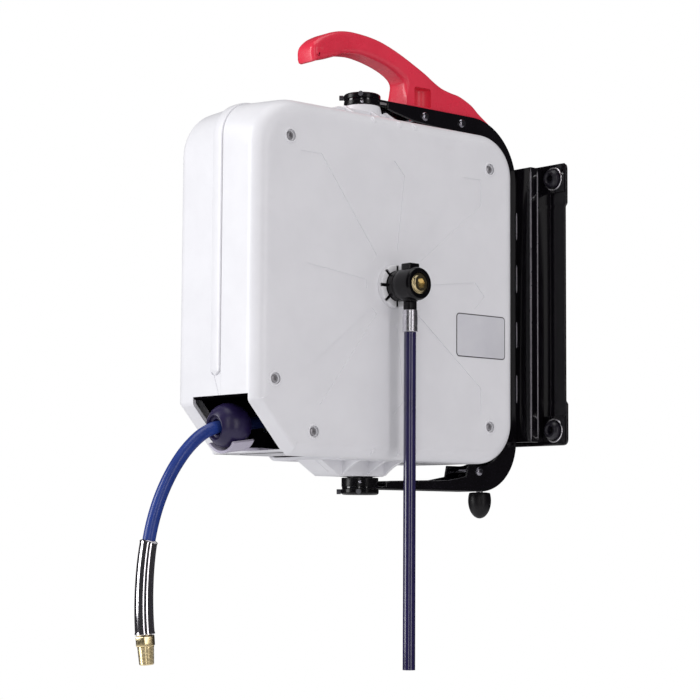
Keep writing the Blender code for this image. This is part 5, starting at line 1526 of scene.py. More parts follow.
@dataclass
class Inlet:
    """The inlet side: notched ring, star washer, swivel body, brass plug, nut and ferrule."""

    face: float = 0.0743
    ring: Triple = (0.0175, 0.025, 0.006)
    notch: Pair = (0.004, 0.003)
    tab: Pair = (0.003, 0.0235)
    washer_thick: float = 0.0022
    washer_step: Triple = (0.0125, 0.0115, 0.0008)
    body_radius: float = 0.019
    body_rear: float = 0.0176
    body_back: float = 0.0014
    rim: Pair = (0.0128, 0.0172)
    stem_radius: float = 0.0085
    stem_low: float = -0.0195
    stem_high: float = -0.0095
    cap_width: float = 0.015
    cap_span: Pair = (0.009, 0.024)
    cap_edge: float = 0.0014
    plug_radius: float = 0.0122
    socket: Pair = (0.0058, 0.004)
    socket_turn: float = 0.2
    nut: Pair = (0.015, 0.009)
    nut_turn: float = 15.0
    nut_edge: float = 0.0009
    ferrule: Pair = (0.0086, 0.025)
    crimps: Pair = (0.006, 0.0185)

    def bars(self, width: float, reach: float, low: float, high: float) -> list[Shape]:
        """Makes four bars that cross at the hub, 45 degrees apart."""
        bar = block((low, -reach, -width / 2), (high, reach, width / 2)).moved((0, *HUB[1:]))
        return [bar.turned(45.0 * i, Axis.X, HUB) for i in range(4)]

    def hub_ring(self) -> None:
        """Makes the notched ring and the star washer in its notches."""
        low, (inside, outside, rise) = self.face, self.ring
        floor = low + rise - self.notch[1]
        profile = [
            (low, inside, 0), (low, outside, 0), (low + rise, outside - 0.0006, 0.0014),
            (low + rise, inside, 0.0006),
        ]
        ring = make_mesh("notched_hub_ring", soft_lathe(profile, Axis.X, HUB, 96))
        carve(ring, self.bars(self.notch[0], outside + 5 * OVER, floor, floor + 10 * OVER))
        place_piece(ring, WHITE_HUB, Body.HOUSING, "shell", "hub_ring")
        top, (outer, inner, deep) = floor + self.washer_thick, self.washer_step
        disc = [
            (low, SHAFT_BORE_R, 0), (low, inside - FIT, 0), (top, inside - FIT, 0.0005),
            (top, outer, 0.0003), (top - deep, inner, 0.0003), (top - deep, SHAFT_BORE_R, 0),
        ]
        star = make_mesh("star_washer_body", soft_lathe(disc, Axis.X, HUB, 72))
        extend(star, together(self.bars(self.tab[0], self.tab[1], floor + FIT, top - 0.0002)))
        place_piece(star, BLACK_PLASTIC, Body.HOUSING, "black_plastic", "star_washer")

    def swivel(self) -> None:
        """Makes the swivel body with its stem and square cap."""
        low, high = across_node("swivel_body")
        high += 0.0002
        r, rear, (inside, outside) = self.body_radius, self.body_rear, self.rim
        tip = across_node("inlet_plug")[1] - self.body_back
        body = [
            (low, SHAFT_BORE_R, 0), (low, rear - 0.001, 0.0006), (low + 0.003, rear, 0.0012),
            (low + 0.009, rear + 0.0004, 0.0004), (low + 0.0096, rear - 0.0003, 0.0004),
            (low + 0.0112, rear - 0.0002, 0.0004), (low + 0.012, rear + 0.0008, 0.0004),
            (low + 0.017, r, 0.001), (tip - 0.0035, r, 0.0016), (tip, outside, 0.001),
            (tip, inside, 0.0005), (high, inside, 0), (high, SHAFT_BORE_R, 0),
        ]
        piece = make_mesh("swivel_elbow", soft_lathe(body, Axis.X, HUB, 80))
        centre = HUB + np.array((FEED_X, 0.0, 0.0))
        bottom, top, stem_r = self.stem_low, self.stem_high, self.stem_radius
        stem = [
            (bottom, 0.0, 0), (bottom, stem_r, 0.0006), (bottom + 0.0017, stem_r, 0.0003),
            (bottom + 0.0025, stem_r + 0.0012, 0.0006), (top, stem_r + 0.0016, 0.0006), (top, 0.0, 0),
        ]
        half, (cap_low, cap_top) = self.cap_width / 2, self.cap_span
        cap = block((-half, -half, cap_low), (half, half, cap_top), self.cap_edge).moved(centre)
        extend(piece, soft_lathe(stem, Axis.Z, centre, 56).plus(cap))
        place_piece(piece, SWIVEL_BLACK, Body.INLET, "black_plastic", "swivel_body")

    def plug(self) -> None:
        """Makes the brass plug with its hexagon socket."""
        (low, high), r = across_node("inlet_plug"), self.plug_radius
        profile = [
            (low, 0.0, 0), (low, r * 0.7, 0.0004), (low + 0.0012, r * 0.72, 0.0004),
            (low + 0.002, r - 0.0006, 0.0008), (high - 0.003, r, 0.0006),
            (high - 0.0022, r - 0.0006, 0.0003), (high - 0.0018, r - 0.0022, 0.0004),
            (high - 0.0003, r - 0.0028, 0.0005), (high, r - 0.0038, 0.0006), (high, 0.0, 0),
        ]
        piece = make_mesh("brass_plug", soft_lathe(profile, Axis.X, HUB, 72))
        socket = circle(self.socket[0], 6, start=self.socket_turn) + HUB[1:]
        carve(piece, [prism(socket, high - self.socket[1], high + 0.003, Axis.X)])
        place_piece(piece, BRASS, Body.DRUM, "brass", "inlet_plug")

    def nut_and_ferrule(self) -> Piece:
        """Makes the hose nut and the crimped ferrule.

        Returns:
            The ferrule.
        """
        flat, rise = self.nut
        top = HUB[2] + self.stem_low - FIT
        outline = hexagon(flat, (FEED_X, HUB[1]), math.radians(self.nut_turn))
        shape = prism(outline, top - rise, top, Axis.Z, self.nut_edge, 4)
        place_piece(make_mesh("hose_nut_body", shape), SWIVEL_BLACK, Body.INLET, "black_steel", "hose_nut")
        r, length = self.ferrule
        high = top - rise - FIT
        low = high - length
        profile = [(high, HOSE_BORE_R, 0), (high, r - 0.0003, 0.0004)]
        for at in self.crimps:
            groove = ((high - at + 0.001, r), (high - at, r - 0.0003), (high - at - 0.001, r))
            profile += [(z, radius, 0.0005) for z, radius in groove]
        profile += [(low, r, 0.0006), (low, HOSE_BORE_R, 0)]
        piece = make_mesh("crimped_ferrule", soft_lathe(profile, Axis.Z, (FEED_X, HUB[1], 0.0), 56))
        return place_piece(piece, FERRULE_SATIN, Body.INLET, "chrome", "feed_ferrule")

    def build(self) -> list[Piece]:
        """Builds the inlet.

        Returns:
            The pieces on the feed hose.
        """
        self.hub_ring()
        self.swivel()
        self.plug()
        return [self.nut_and_ferrule()]


@dataclass
class Mouth:
    """The ball stop on the hose and the collar that cradles it."""

    ball_radius: float = 0.025
    skin: Pair = (36.0, 161.0)
    recess: tuple[Triple, ...] = (
        (0.0238, 0.0073, 0.0004), (-0.012, 0.0073, 0), (-0.0135, 0.008, 0.0005),
        (-0.016, 0.0086, 0.0006), (-0.0172, 0.0096, 0.0006), (-0.016, 0.0108, 0.0006),
        (-0.0166, 0.0118, 0.0006), (-0.019, 0.0124, 0.0006), (-0.0206, 0.0136, 0.0006),
    )
    slope: float = 7.19
    collar_radius: float = 0.0262
    collar_wall: float = 0.003
    collar_bend: float = 0.0013
    collar_span: Pair = (-0.0137, 0.016)
    collar_tilt: float = 8.0
    collar_sweep: float = 100.0
    tongue: Triple = (0.024, 0.0028, 0.0036)
    tongue_span: Pair = (0.0145, 0.0535)

    def centre(self) -> Array:
        """Gives the ball's centre in the frame."""
        return np.array((SEAM_X, *(HUB[1:] + np.array(BALL_AT))))

    def ball(self) -> Piece:
        """Makes the ball with its stepped recess round the hose.

        Its skin is (-r cos t, r sin t) along and round the hose, between two angles t.

        Returns:
            The ball.
        """
        t = np.radians(np.linspace(*self.skin, 40))
        skin = self.ball_radius * np.stack((-np.cos(t), np.sin(t)), 1)
        profile = np.concatenate((np.c_[skin, np.full(len(skin), 0.0002)], self.recess))
        shape = soft_lathe(profile, Axis.Y, self.centre(), 80, 3)
        piece = make_mesh("rubber_ball_stop", shape.turned(self.slope, Axis.X, self.centre()), 40)
        return place_piece(piece, BLACK_RUBBER, Body.OUTLET, "rubber", "ball_stop")

    def collar(self) -> None:
        """Makes the half ring under the ball, and the tongue that joins it to the shell's floor.

        A rounded section of the wall's thickness and the ring's length is carried round an arc below the
        ball: (r cos a, along, r sin a) for each angle a.
        """
        r, wall, centre = self.collar_radius, self.collar_wall, self.centre()
        low, high = self.collar_span
        section = softened(((low, r), (low, r + wall), (high, r + wall), (high, r)), self.collar_bend, 5)
        start = math.radians(-90 - self.collar_sweep / 2)
        a = np.linspace(start, start + math.radians(self.collar_sweep), 72)[:, None]
        along, radius = section.T[:, None]
        ring = loft(on_axis(Axis.Y, along + 0 * a, radius * np.cos(a), radius * np.sin(a)))
        shape = ring.moved(centre).turned(self.collar_tilt, Axis.X, centre)
        wide, thick, lift = self.tongue
        front, back = (centre[1] + reach for reach in self.tongue_span)
        floor = HUB[2] - HOUSING_HEIGHT / 2 + HOUSING_WALL + lift
        tongue = block((SEAM_X - wide / 2, front, floor), (SEAM_X + wide / 2, back, floor + thick), 0.0006)
        piece = make_mesh("ball_collar", shape.plus(tongue))
        # The collar's lilac grey finish is painted shade under the ball
        place_piece(piece, PAINTED_SHADE_COLLAR, Body.HOUSING, "shell", "mouth_collar")

    def build(self) -> Piece:
        """Builds the collar and the ball, and gives the ball."""
        self.collar()
        return self.ball()


@dataclass
class OutletEnd:
    """The polished bend guard and the brass fitting on the outlet hose's end."""

    start: float = 0.175
    radii: Pair = (0.0092, 0.0104)
    inside: float = 0.0076
    lip: Triple = (0.0005, 0.0012, 0.001)
    lip_edge: float = 0.0006
    hexagon: Pair = (0.019, 0.011)
    hexagon_turn: float = 0.3
    thread: Triple = (0.009, 0.008, 0.0205)
    thread_ends: Pair = (0.003, 0.0012)
    pitch: float = 0.0014
    tooth: float = 0.0004
    bevels: Triple = (0.0007, 0.0008, 0.001)
    overlap: float = 0.001
    sides: int = 56

    def sleeve(self) -> Piece:
        """Makes the guard: rings along the hose that widen downwards, with a rolled lip at each end.

        At a distance d from its nearer end the lip adds height * exp(-((d - place) / width)^2).

        Returns:
            The guard.
        """
        path = smooth_curve(outlet_route(), 240)
        travelled = travel(path)
        path, travelled = path[travelled >= self.start], travelled[travelled >= self.start]
        total = travelled[-1] - travelled[0]
        share = (travelled - travelled[0]) / total
        from_end = np.minimum(share, 1 - share) * total
        radius = self.radii[0] + (self.radii[1] - self.radii[0]) * share
        height, place, width = self.lip
        lip = height * np.exp(-(((from_end - place) / width) ** 2))
        edge = self.lip_edge * np.clip(1 - from_end / self.lip_edge, 0, 1)
        piece = make_mesh("polished_bend_guard", tube(path, radius + lip - edge, self.inside, self.sides), 50)
        return place_piece(piece, CHROME, Body.OUTLET, "chrome", "bend_sleeve")

    def thread_shape(self, top: float) -> Shape:
        """Makes the tapered thread and its bore.

        The thread's radius at depth z and angle a is the taper at z less the tooth times the triangle
        wave of z / pitch - a / turn, which fades at both ends.

        Args:
            top: The level from which depths count.

        Returns:
            The thread.
        """
        r, end_r, length = self.thread
        run_in, run_out = self.thread_ends
        outer_bevel, bore_bevel, bevel_length = self.bevels
        z, bore_z = np.linspace(0.0, length, 120)[:, None], np.linspace(length, 0.0, 8)[:, None]
        a = turns(self.sides)[None]
        wave = np.abs(((z / self.pitch - a / math.tau) % 1.0) * 2 - 1)
        taper = r + (end_r - r) * np.clip((z / length - 0.1) / 0.9, 0, 1)
        fade = np.clip(z / run_in, 0, 1) * np.clip((length - z) / run_out, 0, 1)
        radius = taper - self.tooth * wave * fade
        radius = radius - outer_bevel * np.clip(1 - (length - z) / bevel_length, 0, 1)
        bore = HOSE_BORE_R + bore_bevel * np.clip(1 - (length - bore_z) / bevel_length, 0, 1)
        outer = on_axis(Axis.Z, top - z, radius * np.cos(a), radius * np.sin(a))
        inner = on_axis(Axis.Z, top - bore_z, bore * np.cos(a), bore * np.sin(a))
        return loft(np.concatenate((outer, inner)), looped=True)

    def fitting(self) -> Piece:
        """Makes the brass hexagon and its tapered thread.

        Returns:
            The fitting.
        """
        route = outlet_route()
        step = unit(route[-1] - route[-2])
        start = route[-1] + step * 3 * FIT
        flat, rise = self.hexagon
        nut = prism(hexagon(flat, (0.0, 0.0), self.hexagon_turn), -rise, 0.0, Axis.Z, self.overlap, 4)
        r = self.thread[0]
        neck_profile = [
            (-rise - 0.0016, 0.0, 0), (-rise - 0.0016, r - 0.0006, 0.0003), (-rise + 0.002, r - 0.0002, 0),
            (-rise + 0.002, 0.0, 0),
        ]
        neck = soft_lathe(neck_profile, Axis.Z, (0, 0, 0), 48)
        floor = prism(circle(HOSE_BORE_R + FIT, 32), -rise - 0.0022, -rise, Axis.Z)
        shape = nut.plus(self.thread_shape(-rise + self.overlap), neck, floor).moved(start)
        tilt = math.degrees(math.atan2(step[1], -step[2]))
        piece = make_mesh("brass_end_fitting", shape.turned(tilt, Axis.X, start), 28)
        return place_piece(piece, BRASS, Body.OUTLET, "brass", "outlet_fitting")

    def build(self) -> list[Piece]:
        """Builds the guard and the fitting."""
        return [self.sleeve(), self.fitting()]


@dataclass
class Bracket:
    """The C-shaped steel bracket with its cross bolts and the caps and rings on its arm ends.

    Places are measured from the drum's centre.
    """

    width: float = 0.04
    low_bend: float = 0.062
    flange_start: float = 0.038
    flange_spine: float = 0.022
    flange_proud: float = 0.00002
    top_flange: tuple[Pair, ...] = ((0.045, 0.0115), (0.082, 0.0185), (0.124, 0.0215))
    low_flange: tuple[Pair, ...] = ((0.045, 0.01), (0.14, 0.013), (0.169, 0.018))
    gusset_top: float = 0.172
    gusset_depth: float = 0.0315
    bolts: tuple[tuple[str, float, float], ...] = (
        ("handle_bolt_front", 0.098, 0.219), ("handle_bolt_back", 0.16, 0.219),
        ("bend_bolt", 0.19, -0.205),
    )
    bolt_head: Pair = (0.0055, 0.0035)
    bolt_shank: float = 0.003
    cap: Pair = (0.022, 0.0065)
    strip_edge: float = 0.0007
    bend_edge: float = 0.0014
    boss: Pair = (0.0195, 0.0215)
    boss_low: Pair = (0.2217, 0.2165)
    boss_screw: Pair = (0.0021, 41.0)
    arc_steps: int = 28

    def bend(self, end: int, inset: float, start: float, stop: float, raised: float = 0.0) -> Array:
        """Draws the arc of one bend of the spine, set in by a distance.

        Args:
            end: 1 for the upper bend and -1 for the lower.
            inset: How far it is set in.
            start: Its first angle in degrees.
            stop: Its last angle.
            raised: How far it stands above the bend's own centre.

        Returns:
            The arc's points.
        """
        r = TOP_BEND if end > 0 else self.low_bend
        centre = (SPINE_Y - r, end * (ARM_Z - r) + raised)
        return arc(centre, r - inset, start, stop, self.arc_steps)

    def web(self, inset: float) -> Array:
        """Draws the strip's line from the upper pivot to the lower one, set in from its outer face."""
        first, last = (PIVOT[1] - HUB[1], ARM_Z - inset), (PIVOT[1] - HUB[1], inset - ARM_Z)
        return np.concatenate(((first,), self.bend(1, inset, 90, 0), self.bend(-1, inset, 0, -90), (last,)))

    def flange(self) -> Array:
        """Draws one flange: the strip's outer line, and back along the free edge.

        Returns:
            The flange's outline.
        """
        start, spine, deep = self.flange_start, self.flange_spine, self.gusset_depth
        return np.concatenate(
            (
                ((start, ARM_Z),),
                self.web(0.0)[1:-1],
                ((start, -ARM_Z), (start, self.low_flange[0][1] * 0.85 - ARM_Z)),
                [(y, rise - ARM_Z) for y, rise in self.low_flange],
                ((self.gusset_top, deep - ARM_Z),),
                self.bend(-1, spine, -90, 0, deep - spine),
                self.bend(1, spine, 0, 90),
                [(y, ARM_Z - fall) for y, fall in reversed(self.top_flange)],
                ((start, ARM_Z - self.top_flange[0][1] * 0.85),),
            )
        )

    def strip(self) -> None:
        """Makes the bracket: strip, two flanges and two round ends."""
        half, proud = self.width / 2, self.flange_proud
        web = from_hub(np.concatenate((self.web(0.0), self.web(STEEL)[::-1])))
        flange = from_hub(self.flange())
        shapes = [
            prism(web, -half, half, Axis.X, self.strip_edge, 3),
            prism(flange, half - STEEL, half + proud, Axis.X, self.bend_edge, 5),
            prism(flange, -half - proud, -half + STEEL, Axis.X, self.bend_edge, 5),
        ]
        for end in (1, -1):
            low, high = sorted((end * (ARM_Z - STEEL), end * ARM_Z))
            low, high, r = low - proud, high + proud, half + 0.001
            profile = [(low, 0.0, 0), (low, r, 0.0007), (high, r, 0.0007), (high, 0.0, 0)]
            shapes.append(soft_lathe(profile, Axis.Z, PIVOT, 72))
        piece = make_mesh("steel_bracket", together(shapes))
        place_piece(piece, BLACK_STEEL, Body.BASE, "black_steel", "swivel_bracket")

    def bolt(self, node: str, y: float, z: float) -> None:
        """Makes a dome-headed cross bolt.

        Args:
            node: The CAD node that it replaces.
            y: Its place along the bracket.
            z: Its height.
        """
        (low, high), (r, rise) = across_node(node), self.bolt_head
        dome = np.array(
            (
                (0.0, 0.0, 0), (0.0, r * 0.35, 0.0005), (rise * 0.25, r * 0.82, 0.0012),
                (rise * 0.75, r, 0.0008), (rise, r, 0.0002), (rise, self.bolt_shank, 0),
            )
        )
        profile = np.concatenate((dome + (low, 0, 0), dome[::-1] * (-1, 1, 1) + (high, 0, 0)))
        shape = soft_lathe(profile, Axis.X, HUB + np.array((0, y, z)), 40)
        place_piece(make_mesh(node + "_body", shape), CROSS_BOLT, Body.BASE, "zinc", node)

    def arm_cap(self, end: int, name: str) -> None:
        """Makes the round cap on one arm's end.

        Args:
            end: 1 for the top and -1 for the bottom.
            name: The end's name.
        """
        (r, rise), low = self.cap, ARM_Z + FIT
        profile = [
            (low, 0.0, 0), (low, r, 0.0003), (low + rise - 0.0016, r, 0.0014),
            (low + rise, r - 0.0022, 0.0016), (low + rise, 0.0, 0),
        ]
        shape = soft_lathe(np.array(profile) * (end, 1, 1), Axis.Z, PIVOT, 72)
        piece = make_mesh(f"{name}_cap_body", shape)
        place_piece(piece, BLACK_PLASTIC, Body.BASE, "black_plastic", f"{name}_cap")

    def boss_ring(self, end: int, name: str) -> None:
        """Makes the black ring round one swivel bush, with its set screw's bright head.

        Args:
            end: 1 for the top and -1 for the bottom.
            name: The end's name.
        """
        inside, outside = self.boss
        low, high = self.boss_low[0 if end > 0 else 1], ARM_Z - STEEL + 0.0002
        profile = [(low, inside, 0.0002), (low, outside, 0.0008), (high, outside, 0), (high, inside, 0)]
        ring = soft_lathe(np.array(profile) * (end, 1, 1), Axis.Z, PIVOT, 72)
        place_piece(make_mesh(f"{name}_boss_ring", ring), BLACK_PLASTIC, Body.BASE, "black_plastic")
        r, turn = self.boss_screw
        at = PIVOT + (outside - r * 0.4, 0, end * (low + high) / 2)
        dome = [
            (-r, 0.0, 0), (-r, r * 0.8, 0.0003), (r * 0.5, r, 0.0006), (r * 0.9, r * 0.5, 0.0006),
            (r * 0.9, 0.0, 0),
        ]
        screw = soft_lathe(dome, Axis.X, at, 28).turned(-turn, Axis.Z, PIVOT)
        place_piece(make_mesh(f"{name}_boss_screw", screw), CROSS_BOLT, Body.BASE, "zinc")

    def build(self) -> None:
        """Builds the bracket, its bolts, its caps and its boss rings."""
        self.strip()
        for node, y, z in self.bolts:
            self.bolt(node, y, z)
        for end, name in ((1, "upper"), (-1, "lower")):
            self.arm_cap(end, name)
            self.boss_ring(end, name)


@dataclass
class CarryHandle:
    """The red hooked grip on the upper bend, with a pocket in each side.

    Points of its outline are measured from the spine's line and the arm's top.
    """

    width: float = 0.034
    edge: float = 0.0075
    edge_fade: int = 8
    saddle_front: float = -0.184
    saddle_turn: float = 63.0
    underside: tuple[Pair, ...] = (
        (-0.184, 0.0085), (-0.184, 0.02), (-0.1845, 0.0285), (-0.1915, 0.0355), (-0.2045, 0.0415),
        (-0.22, 0.046), (-0.237, 0.0493), (-0.255, 0.051), (-0.273, 0.0495), (-0.2825, 0.0475),
        (-0.2915, 0.0435), (-0.304, 0.0398), (-0.316, 0.036), (-0.3262, 0.0318),
    )
    tip: tuple[Pair, ...] = ((-0.3288, 0.0375), (-0.3295, 0.0455), (-0.3275, 0.052))
    top: tuple[Pair, ...] = (
        (-0.3225, 0.0575), (-0.316, 0.0625), (-0.3024, 0.0692), (-0.2886, 0.0736), (-0.275, 0.0758),
        (-0.2618, 0.0762), (-0.241, 0.075), (-0.2213, 0.0718), (-0.2, 0.0655), (-0.18, 0.0578),
        (-0.152, 0.0455), (-0.137, 0.0375), (-0.123, 0.0312), (-0.108, 0.0278), (-0.094, 0.0258),
        (-0.082, 0.0218), (-0.0706, 0.0165), (-0.06, 0.0085), (-0.0497, 0.0004), (-0.0435, -0.0056),
    )
    pocket: Quad = (0.0975, 0.0135, 0.0022, 0.0252)
    tongue: Quad = (0.0945, 0.172, 0.0126, 0.008)
    tongue_overlap: float = 0.004

    def outline(self) -> tuple[Array, Array]:
        """Draws the side outline from the drum's centre: the saddle on the bend, and the hook.

        Returns:
            The points, anticlockwise, and how much of the edge's rounding each one takes.
        """
        saddle = arc((SPINE_Y - TOP_BEND, ARM_Z - TOP_BEND), TOP_BEND + FIT, self.saddle_turn, 90, 21)
        front = np.array(((SPINE_Y + self.saddle_front, ARM_Z + FIT),))
        grip = smooth_curve(np.array(self.underside + self.tip + self.top) + (SPINE_Y, ARM_Z), 170)
        ease = np.clip(np.arange(len(grip)) / self.edge_fade, 0, 1)
        weight = np.concatenate((np.zeros(len(saddle) + 1), np.minimum(ease, ease[::-1])))
        return np.concatenate((saddle, front, grip))[::-1], weight[::-1]

    def build(self) -> None:
        """Builds the grip.

        Each ring across the width is the outline moved in by edge (1 - cos a), at
        x = half width - edge (1 - sin a), so that the sides roll over into the top and the underside.
        """
        points, weight = self.outline()
        a = np.linspace(0, math.pi / 2, 11)
        x, inset = self.width / 2 - self.edge * (1 - np.sin(a)), self.edge * (1 - np.cos(a))
        x, inset = np.concatenate((-x[::-1], x)), np.concatenate((inset[::-1], inset))
        step = inset[:, None, None] * weight[None, :, None]
        across = points[None] + inward(points)[None] * step + HUB[1:]
        rings = np.concatenate((x[:, None, None] + 0 * across[..., :1], across), -1)
        piece = make_mesh("red_carry_grip", loft(rings), 40)
        at, r, low, high = self.pocket
        low, high = ARM_Z + low, ARM_Z + high
        profile = [(low, 0.0, 0), (low, r, 0.0012), (high, r, 0.0035), (high, 0.0, 0)]
        centres = [(side * self.width / 2, at + HUB[1], HUB[2]) for side in (1, -1)]
        carve(piece, [soft_lathe(profile, Axis.Z, centre, 56, 6) for centre in centres], 40)
        start, end, drop, thick = self.tongue
        first, last = (-thick / 2, start, ARM_Z - drop), (thick / 2, end, ARM_Z + self.tongue_overlap)
        extend(piece, block(first, last, 0.0006).moved(HUB), 40)
        place_piece(piece, RED_GRIP, Body.BASE, "handle", "carry_handle")


@dataclass
class LockKnob:
    """The egg-shaped knob under the lower bend."""

    at: float = 0.211
    radius: float = 0.0141
    length: float = 0.0318
    first: float = 0.36
    neck: Pair = (0.0095, 0.0006)

    def build(self) -> None:
        """Builds the knob: radius sin a at a height that follows cos a below its neck."""
        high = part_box("lock_knob")[1][2]
        neck_r, neck = self.neck
        egg, first = self.length - neck, self.first * math.pi
        a = np.linspace(first, math.pi, 40)
        along = high - neck - egg * (math.cos(first) - np.cos(a)) / (1 + math.cos(first))
        skin = np.stack((along, np.maximum(self.radius * np.sin(a), 0.0), np.full(len(a), 0.0003)), 1)
        profile = np.concatenate((((high, 0.0, 0), (high, neck_r, 0.0004)), skin))
        shape = soft_lathe(profile, Axis.Z, (0.0, self.at + HUB[1], 0.0), 64, 2)
        piece = make_mesh("egg_lock_knob", shape, 50)
        place_piece(piece, GLOSS_KNOB, Body.KNOB, "black_plastic", "lock_knob")


@dataclass
class WallPlate:
    """The flat plate with its box rail, lug pads, weld beads and rubber bushes."""

    width: float = 0.162
    height: float = 0.35
    waist: float = 0.003
    corner: float = 0.008
    waist_bend: float = 0.002
    lug_reach: float = 0.051
    edge: float = 0.0006
    overlap: float = 0.0005
    rail_half: float = 0.045
    rail_front: float = -0.0287
    rail_rise: float = 0.171
    rail_step: Triple = (-0.016, -0.0138, 0.0022)
    pad: Pair = (0.036, 0.002)
    pad_edge: float = 0.0008
    lugs: Pair = (0.061, 0.1565)
    bush: Quad = (0.0115, 0.0045, 0.0087, 0.0085)
    washer: Triple = (0.0127, 0.0148, 0.0012)
    bead_sides: int = 14
    weld: Triple = (0.0012, 0.0208, 0.0004)
    weld_pitch: float = 0.0034
    weld_ripple: float = 0.14
    weld_spans: tuple[Pair, ...] = (
        (0.0816, 0.1157), (0.0151, 0.0502), (-0.0536, -0.0211), (-0.1219, -0.0872),
    )
    # Where the painted highlight strips run along the rail: x, y and radius
    highlight_lines: tuple[Triple, ...] = ((0.0443, -0.0281, 0.0015), (0.0443, -0.0163, 0.0014))

    def plate(self) -> Shape:
        """Makes the plate, with its corner lugs standing out beyond its waist.

        Returns:
            The plate.
        """
        half, rise, w = self.width / 2, self.height / 2, self.waist
        turn, bend = rise - self.lug_reach, self.waist_bend
        right = np.array(((half, -rise, self.corner), (half, -turn, bend), (half - w, -turn + w, bend)))
        side = np.concatenate((right, right[::-1] * (1, -1, 1)))
        corners = np.concatenate((side, side * (-1, -1, 1)))
        outline = softened(corners[:, :2], corners[:, 2], 8)
        return prism(outline, -STEEL, 0.0, Axis.Y, self.edge, 3)

    def rail(self) -> Shape:
        """Makes the box rail: a trough with stepped sides, open at both ends and towards the plate.

        Returns:
            The rail.
        """
        half, front, foot = self.rail_half, self.rail_front, self.overlap - STEEL
        inside = half - STEEL
        first, last, narrow = self.rail_step
        right = np.array(
            (
                (half, front, 0.0022), (half, first, 0.0012), (half - narrow, last, 0.0012),
                (half - narrow, foot, 0.0001), (inside - narrow, foot, 0.0001),
                (inside - narrow, last, 0.0008), (inside, front + STEEL, 0.001),
            )
        )
        outline = np.concatenate((right, right[::-1] * (-1, 1, 1)))
        soft = softened(outline[:, :2], outline[:, 2], 5)
        return prism(soft, -self.rail_rise, self.rail_rise, Axis.Z, self.edge, 2)

    def bead(self, x: float, y: float, z: Array, radius: Array) -> Shape:
        """Makes an upright bead: a circle of its own radius at each height."""
        a, radius = turns(self.bead_sides), radius[:, None]
        return loft(on_axis(Axis.Z, z[:, None], x + radius * np.cos(a), y + radius * np.sin(a)))

    def welds(self) -> list[Shape]:
        """Makes the weld beads on both sides of the spine, whose radius ripples and falls at the ends.

        Returns:
            The beads.
        """
        r, middle, sink = self.weld
        s = np.linspace(0, 1, 60)
        taper = np.sqrt(np.clip(1 - np.abs(2 * s - 1) ** 5, 0.02, 1))
        made = []
        for low, high in self.weld_spans:
            wave = np.abs(np.sin(s * (high - low) / self.weld_pitch * math.pi))
            radius = r * (1 - self.weld_ripple + self.weld_ripple * wave) * taper
            z, y = low + s * (high - low), self.rail_front - sink
            made += [self.bead(side * middle, y, z, radius) for side in (1, -1)]
        return made

    def rolled_edges(self) -> list[Shape]:
        """Makes the painted highlights along the rail's edges: thin round strips with tapered ends.

        Returns:
            The strips.
        """
        reach = self.rail_rise - 0.001
        z = np.linspace(-reach, reach, 60)
        taper = np.sqrt(np.clip(1 - np.abs(z / reach) ** 40, 0.05, 1))
        return [self.bead(side * x, y, z, r * taper) for x, y, r in self.highlight_lines for side in (1, -1)]

    def grommet(self, number: int, x: float, z: float) -> None:
        """Makes one rubber bush with a rolled lip, and the bright ring round it.

        Args:
            number: Its number among the CAD nodes.
            x: Its place across the plate.
            z: Its height.
        """
        r, hole, neck, lip = self.bush
        back = -STEEL - self.pad[1]
        front = back - FIT
        profile = [
            (-0.0002, hole, 0), (-0.0002, neck, 0), (front, neck, 0), (front, r, 0.0004),
            (front - lip * 0.55, r, 0.0012), (front - lip, r - 0.0028, 0.0012),
            (front - lip, hole + 0.0016, 0.0007), (front - lip * 0.7, hole, 0.0006),
        ]
        piece = make_mesh(f"rubber_bush_{number}", soft_lathe(profile, Axis.Y, (x, 0, z), 56))
        place_piece(piece, BUSH_RUBBER, Body.BASE, "rubber", f"plate_grommet_{number}")
        inside, outside, thick = self.washer
        ring = [
            (back + 0.0004, inside, 0), (back + 0.0004, outside, 0),
            (back - thick, outside - 0.0002, 0.0007), (back - thick, inside, 0.0005),
        ]
        washer = make_mesh(f"bush_ring_{number}", soft_lathe(ring, Axis.Y, (x, 0, z), 56))
        place_piece(washer, CHROME, Body.BASE, "zinc")

    def build(self) -> None:
        """Builds the plate with its rail and pads, the bushes, the weld beads and the painted highlight
        strips.
        """
        size, thick = self.pad
        shapes = [self.plate(), self.rail()]
        places = [(sx * self.lugs[0], sz * self.lugs[1]) for sx in (1, -1) for sz in (1, -1)]
        for x, z in places:
            low = (x - size / 2, -STEEL - thick, z - size / 2)
            high = (x + size / 2, self.overlap - STEEL, z + size / 2)
            shapes.append(block(low, high, self.pad_edge))
        piece = make_mesh("steel_wall_plate", together(shapes))
        place_piece(piece, BLACK_STEEL, Body.BASE, "black_steel", "wall_plate")
        for number, (x, z) in enumerate(places, 1):
            self.grommet(number, x, z)
        # The weld beads and the strips are light steel: painted highlight on the black rail
        beads = {"stitch_weld_beads": self.welds(), "rail_rolled_edges": self.rolled_edges()}
        for name, made in beads.items():
            place_piece(make_mesh(name, together(made)), PAINTED_HIGHLIGHT_STEEL, Body.BASE, "black_steel")


@dataclass
class InnerWorks:
    """The CAD nodes that stay: bearings, drum, ratchet, spring, pins and small screws."""

    special: dict[str, Finish]

    def build(self, nodes: dict[str, Piece]) -> None:
        """Gives each node its procedural finish.

        Args:
            nodes: The CAD nodes by name.
        """
        for name, node in nodes.items():
            spots = [spot.material.name.split(".")[0] for spot in node.material_slots if spot.material]
            finish = self.special.get(name) or SLOT_FINISHES[spots[0]]
            dress(node, finish)
            LOG.info("%s: %s", name, finish.name)


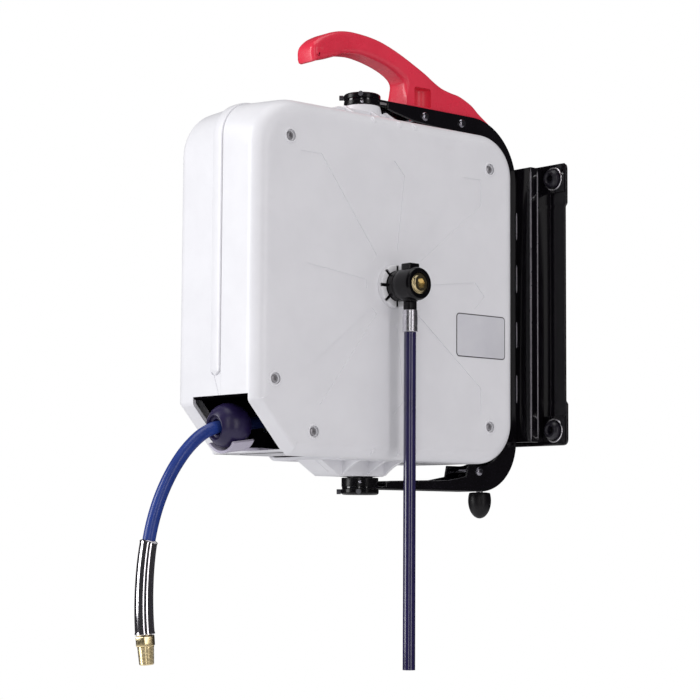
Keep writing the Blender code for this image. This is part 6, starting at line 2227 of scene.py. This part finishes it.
def main() -> None:
    """Builds the dressed reel."""
    logging.basicConfig(level=logging.INFO, format="%(name)s: %(message)s")
    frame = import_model()
    Studio().build()
    InnerWorks(NODE_FINISHES).build(frame["nodes"])
    feed_pieces = Inlet().build()
    ball = Mouth().build()
    outlet_pieces = [ball, *OutletEnd().build()]
    Hoses().build(outlet_pieces, feed_pieces)
    Housing().build()
    Bracket().build()
    CarryHandle().build()
    LockKnob().build()
    WallPlate().build()


if __name__ == "__main__":
    main()
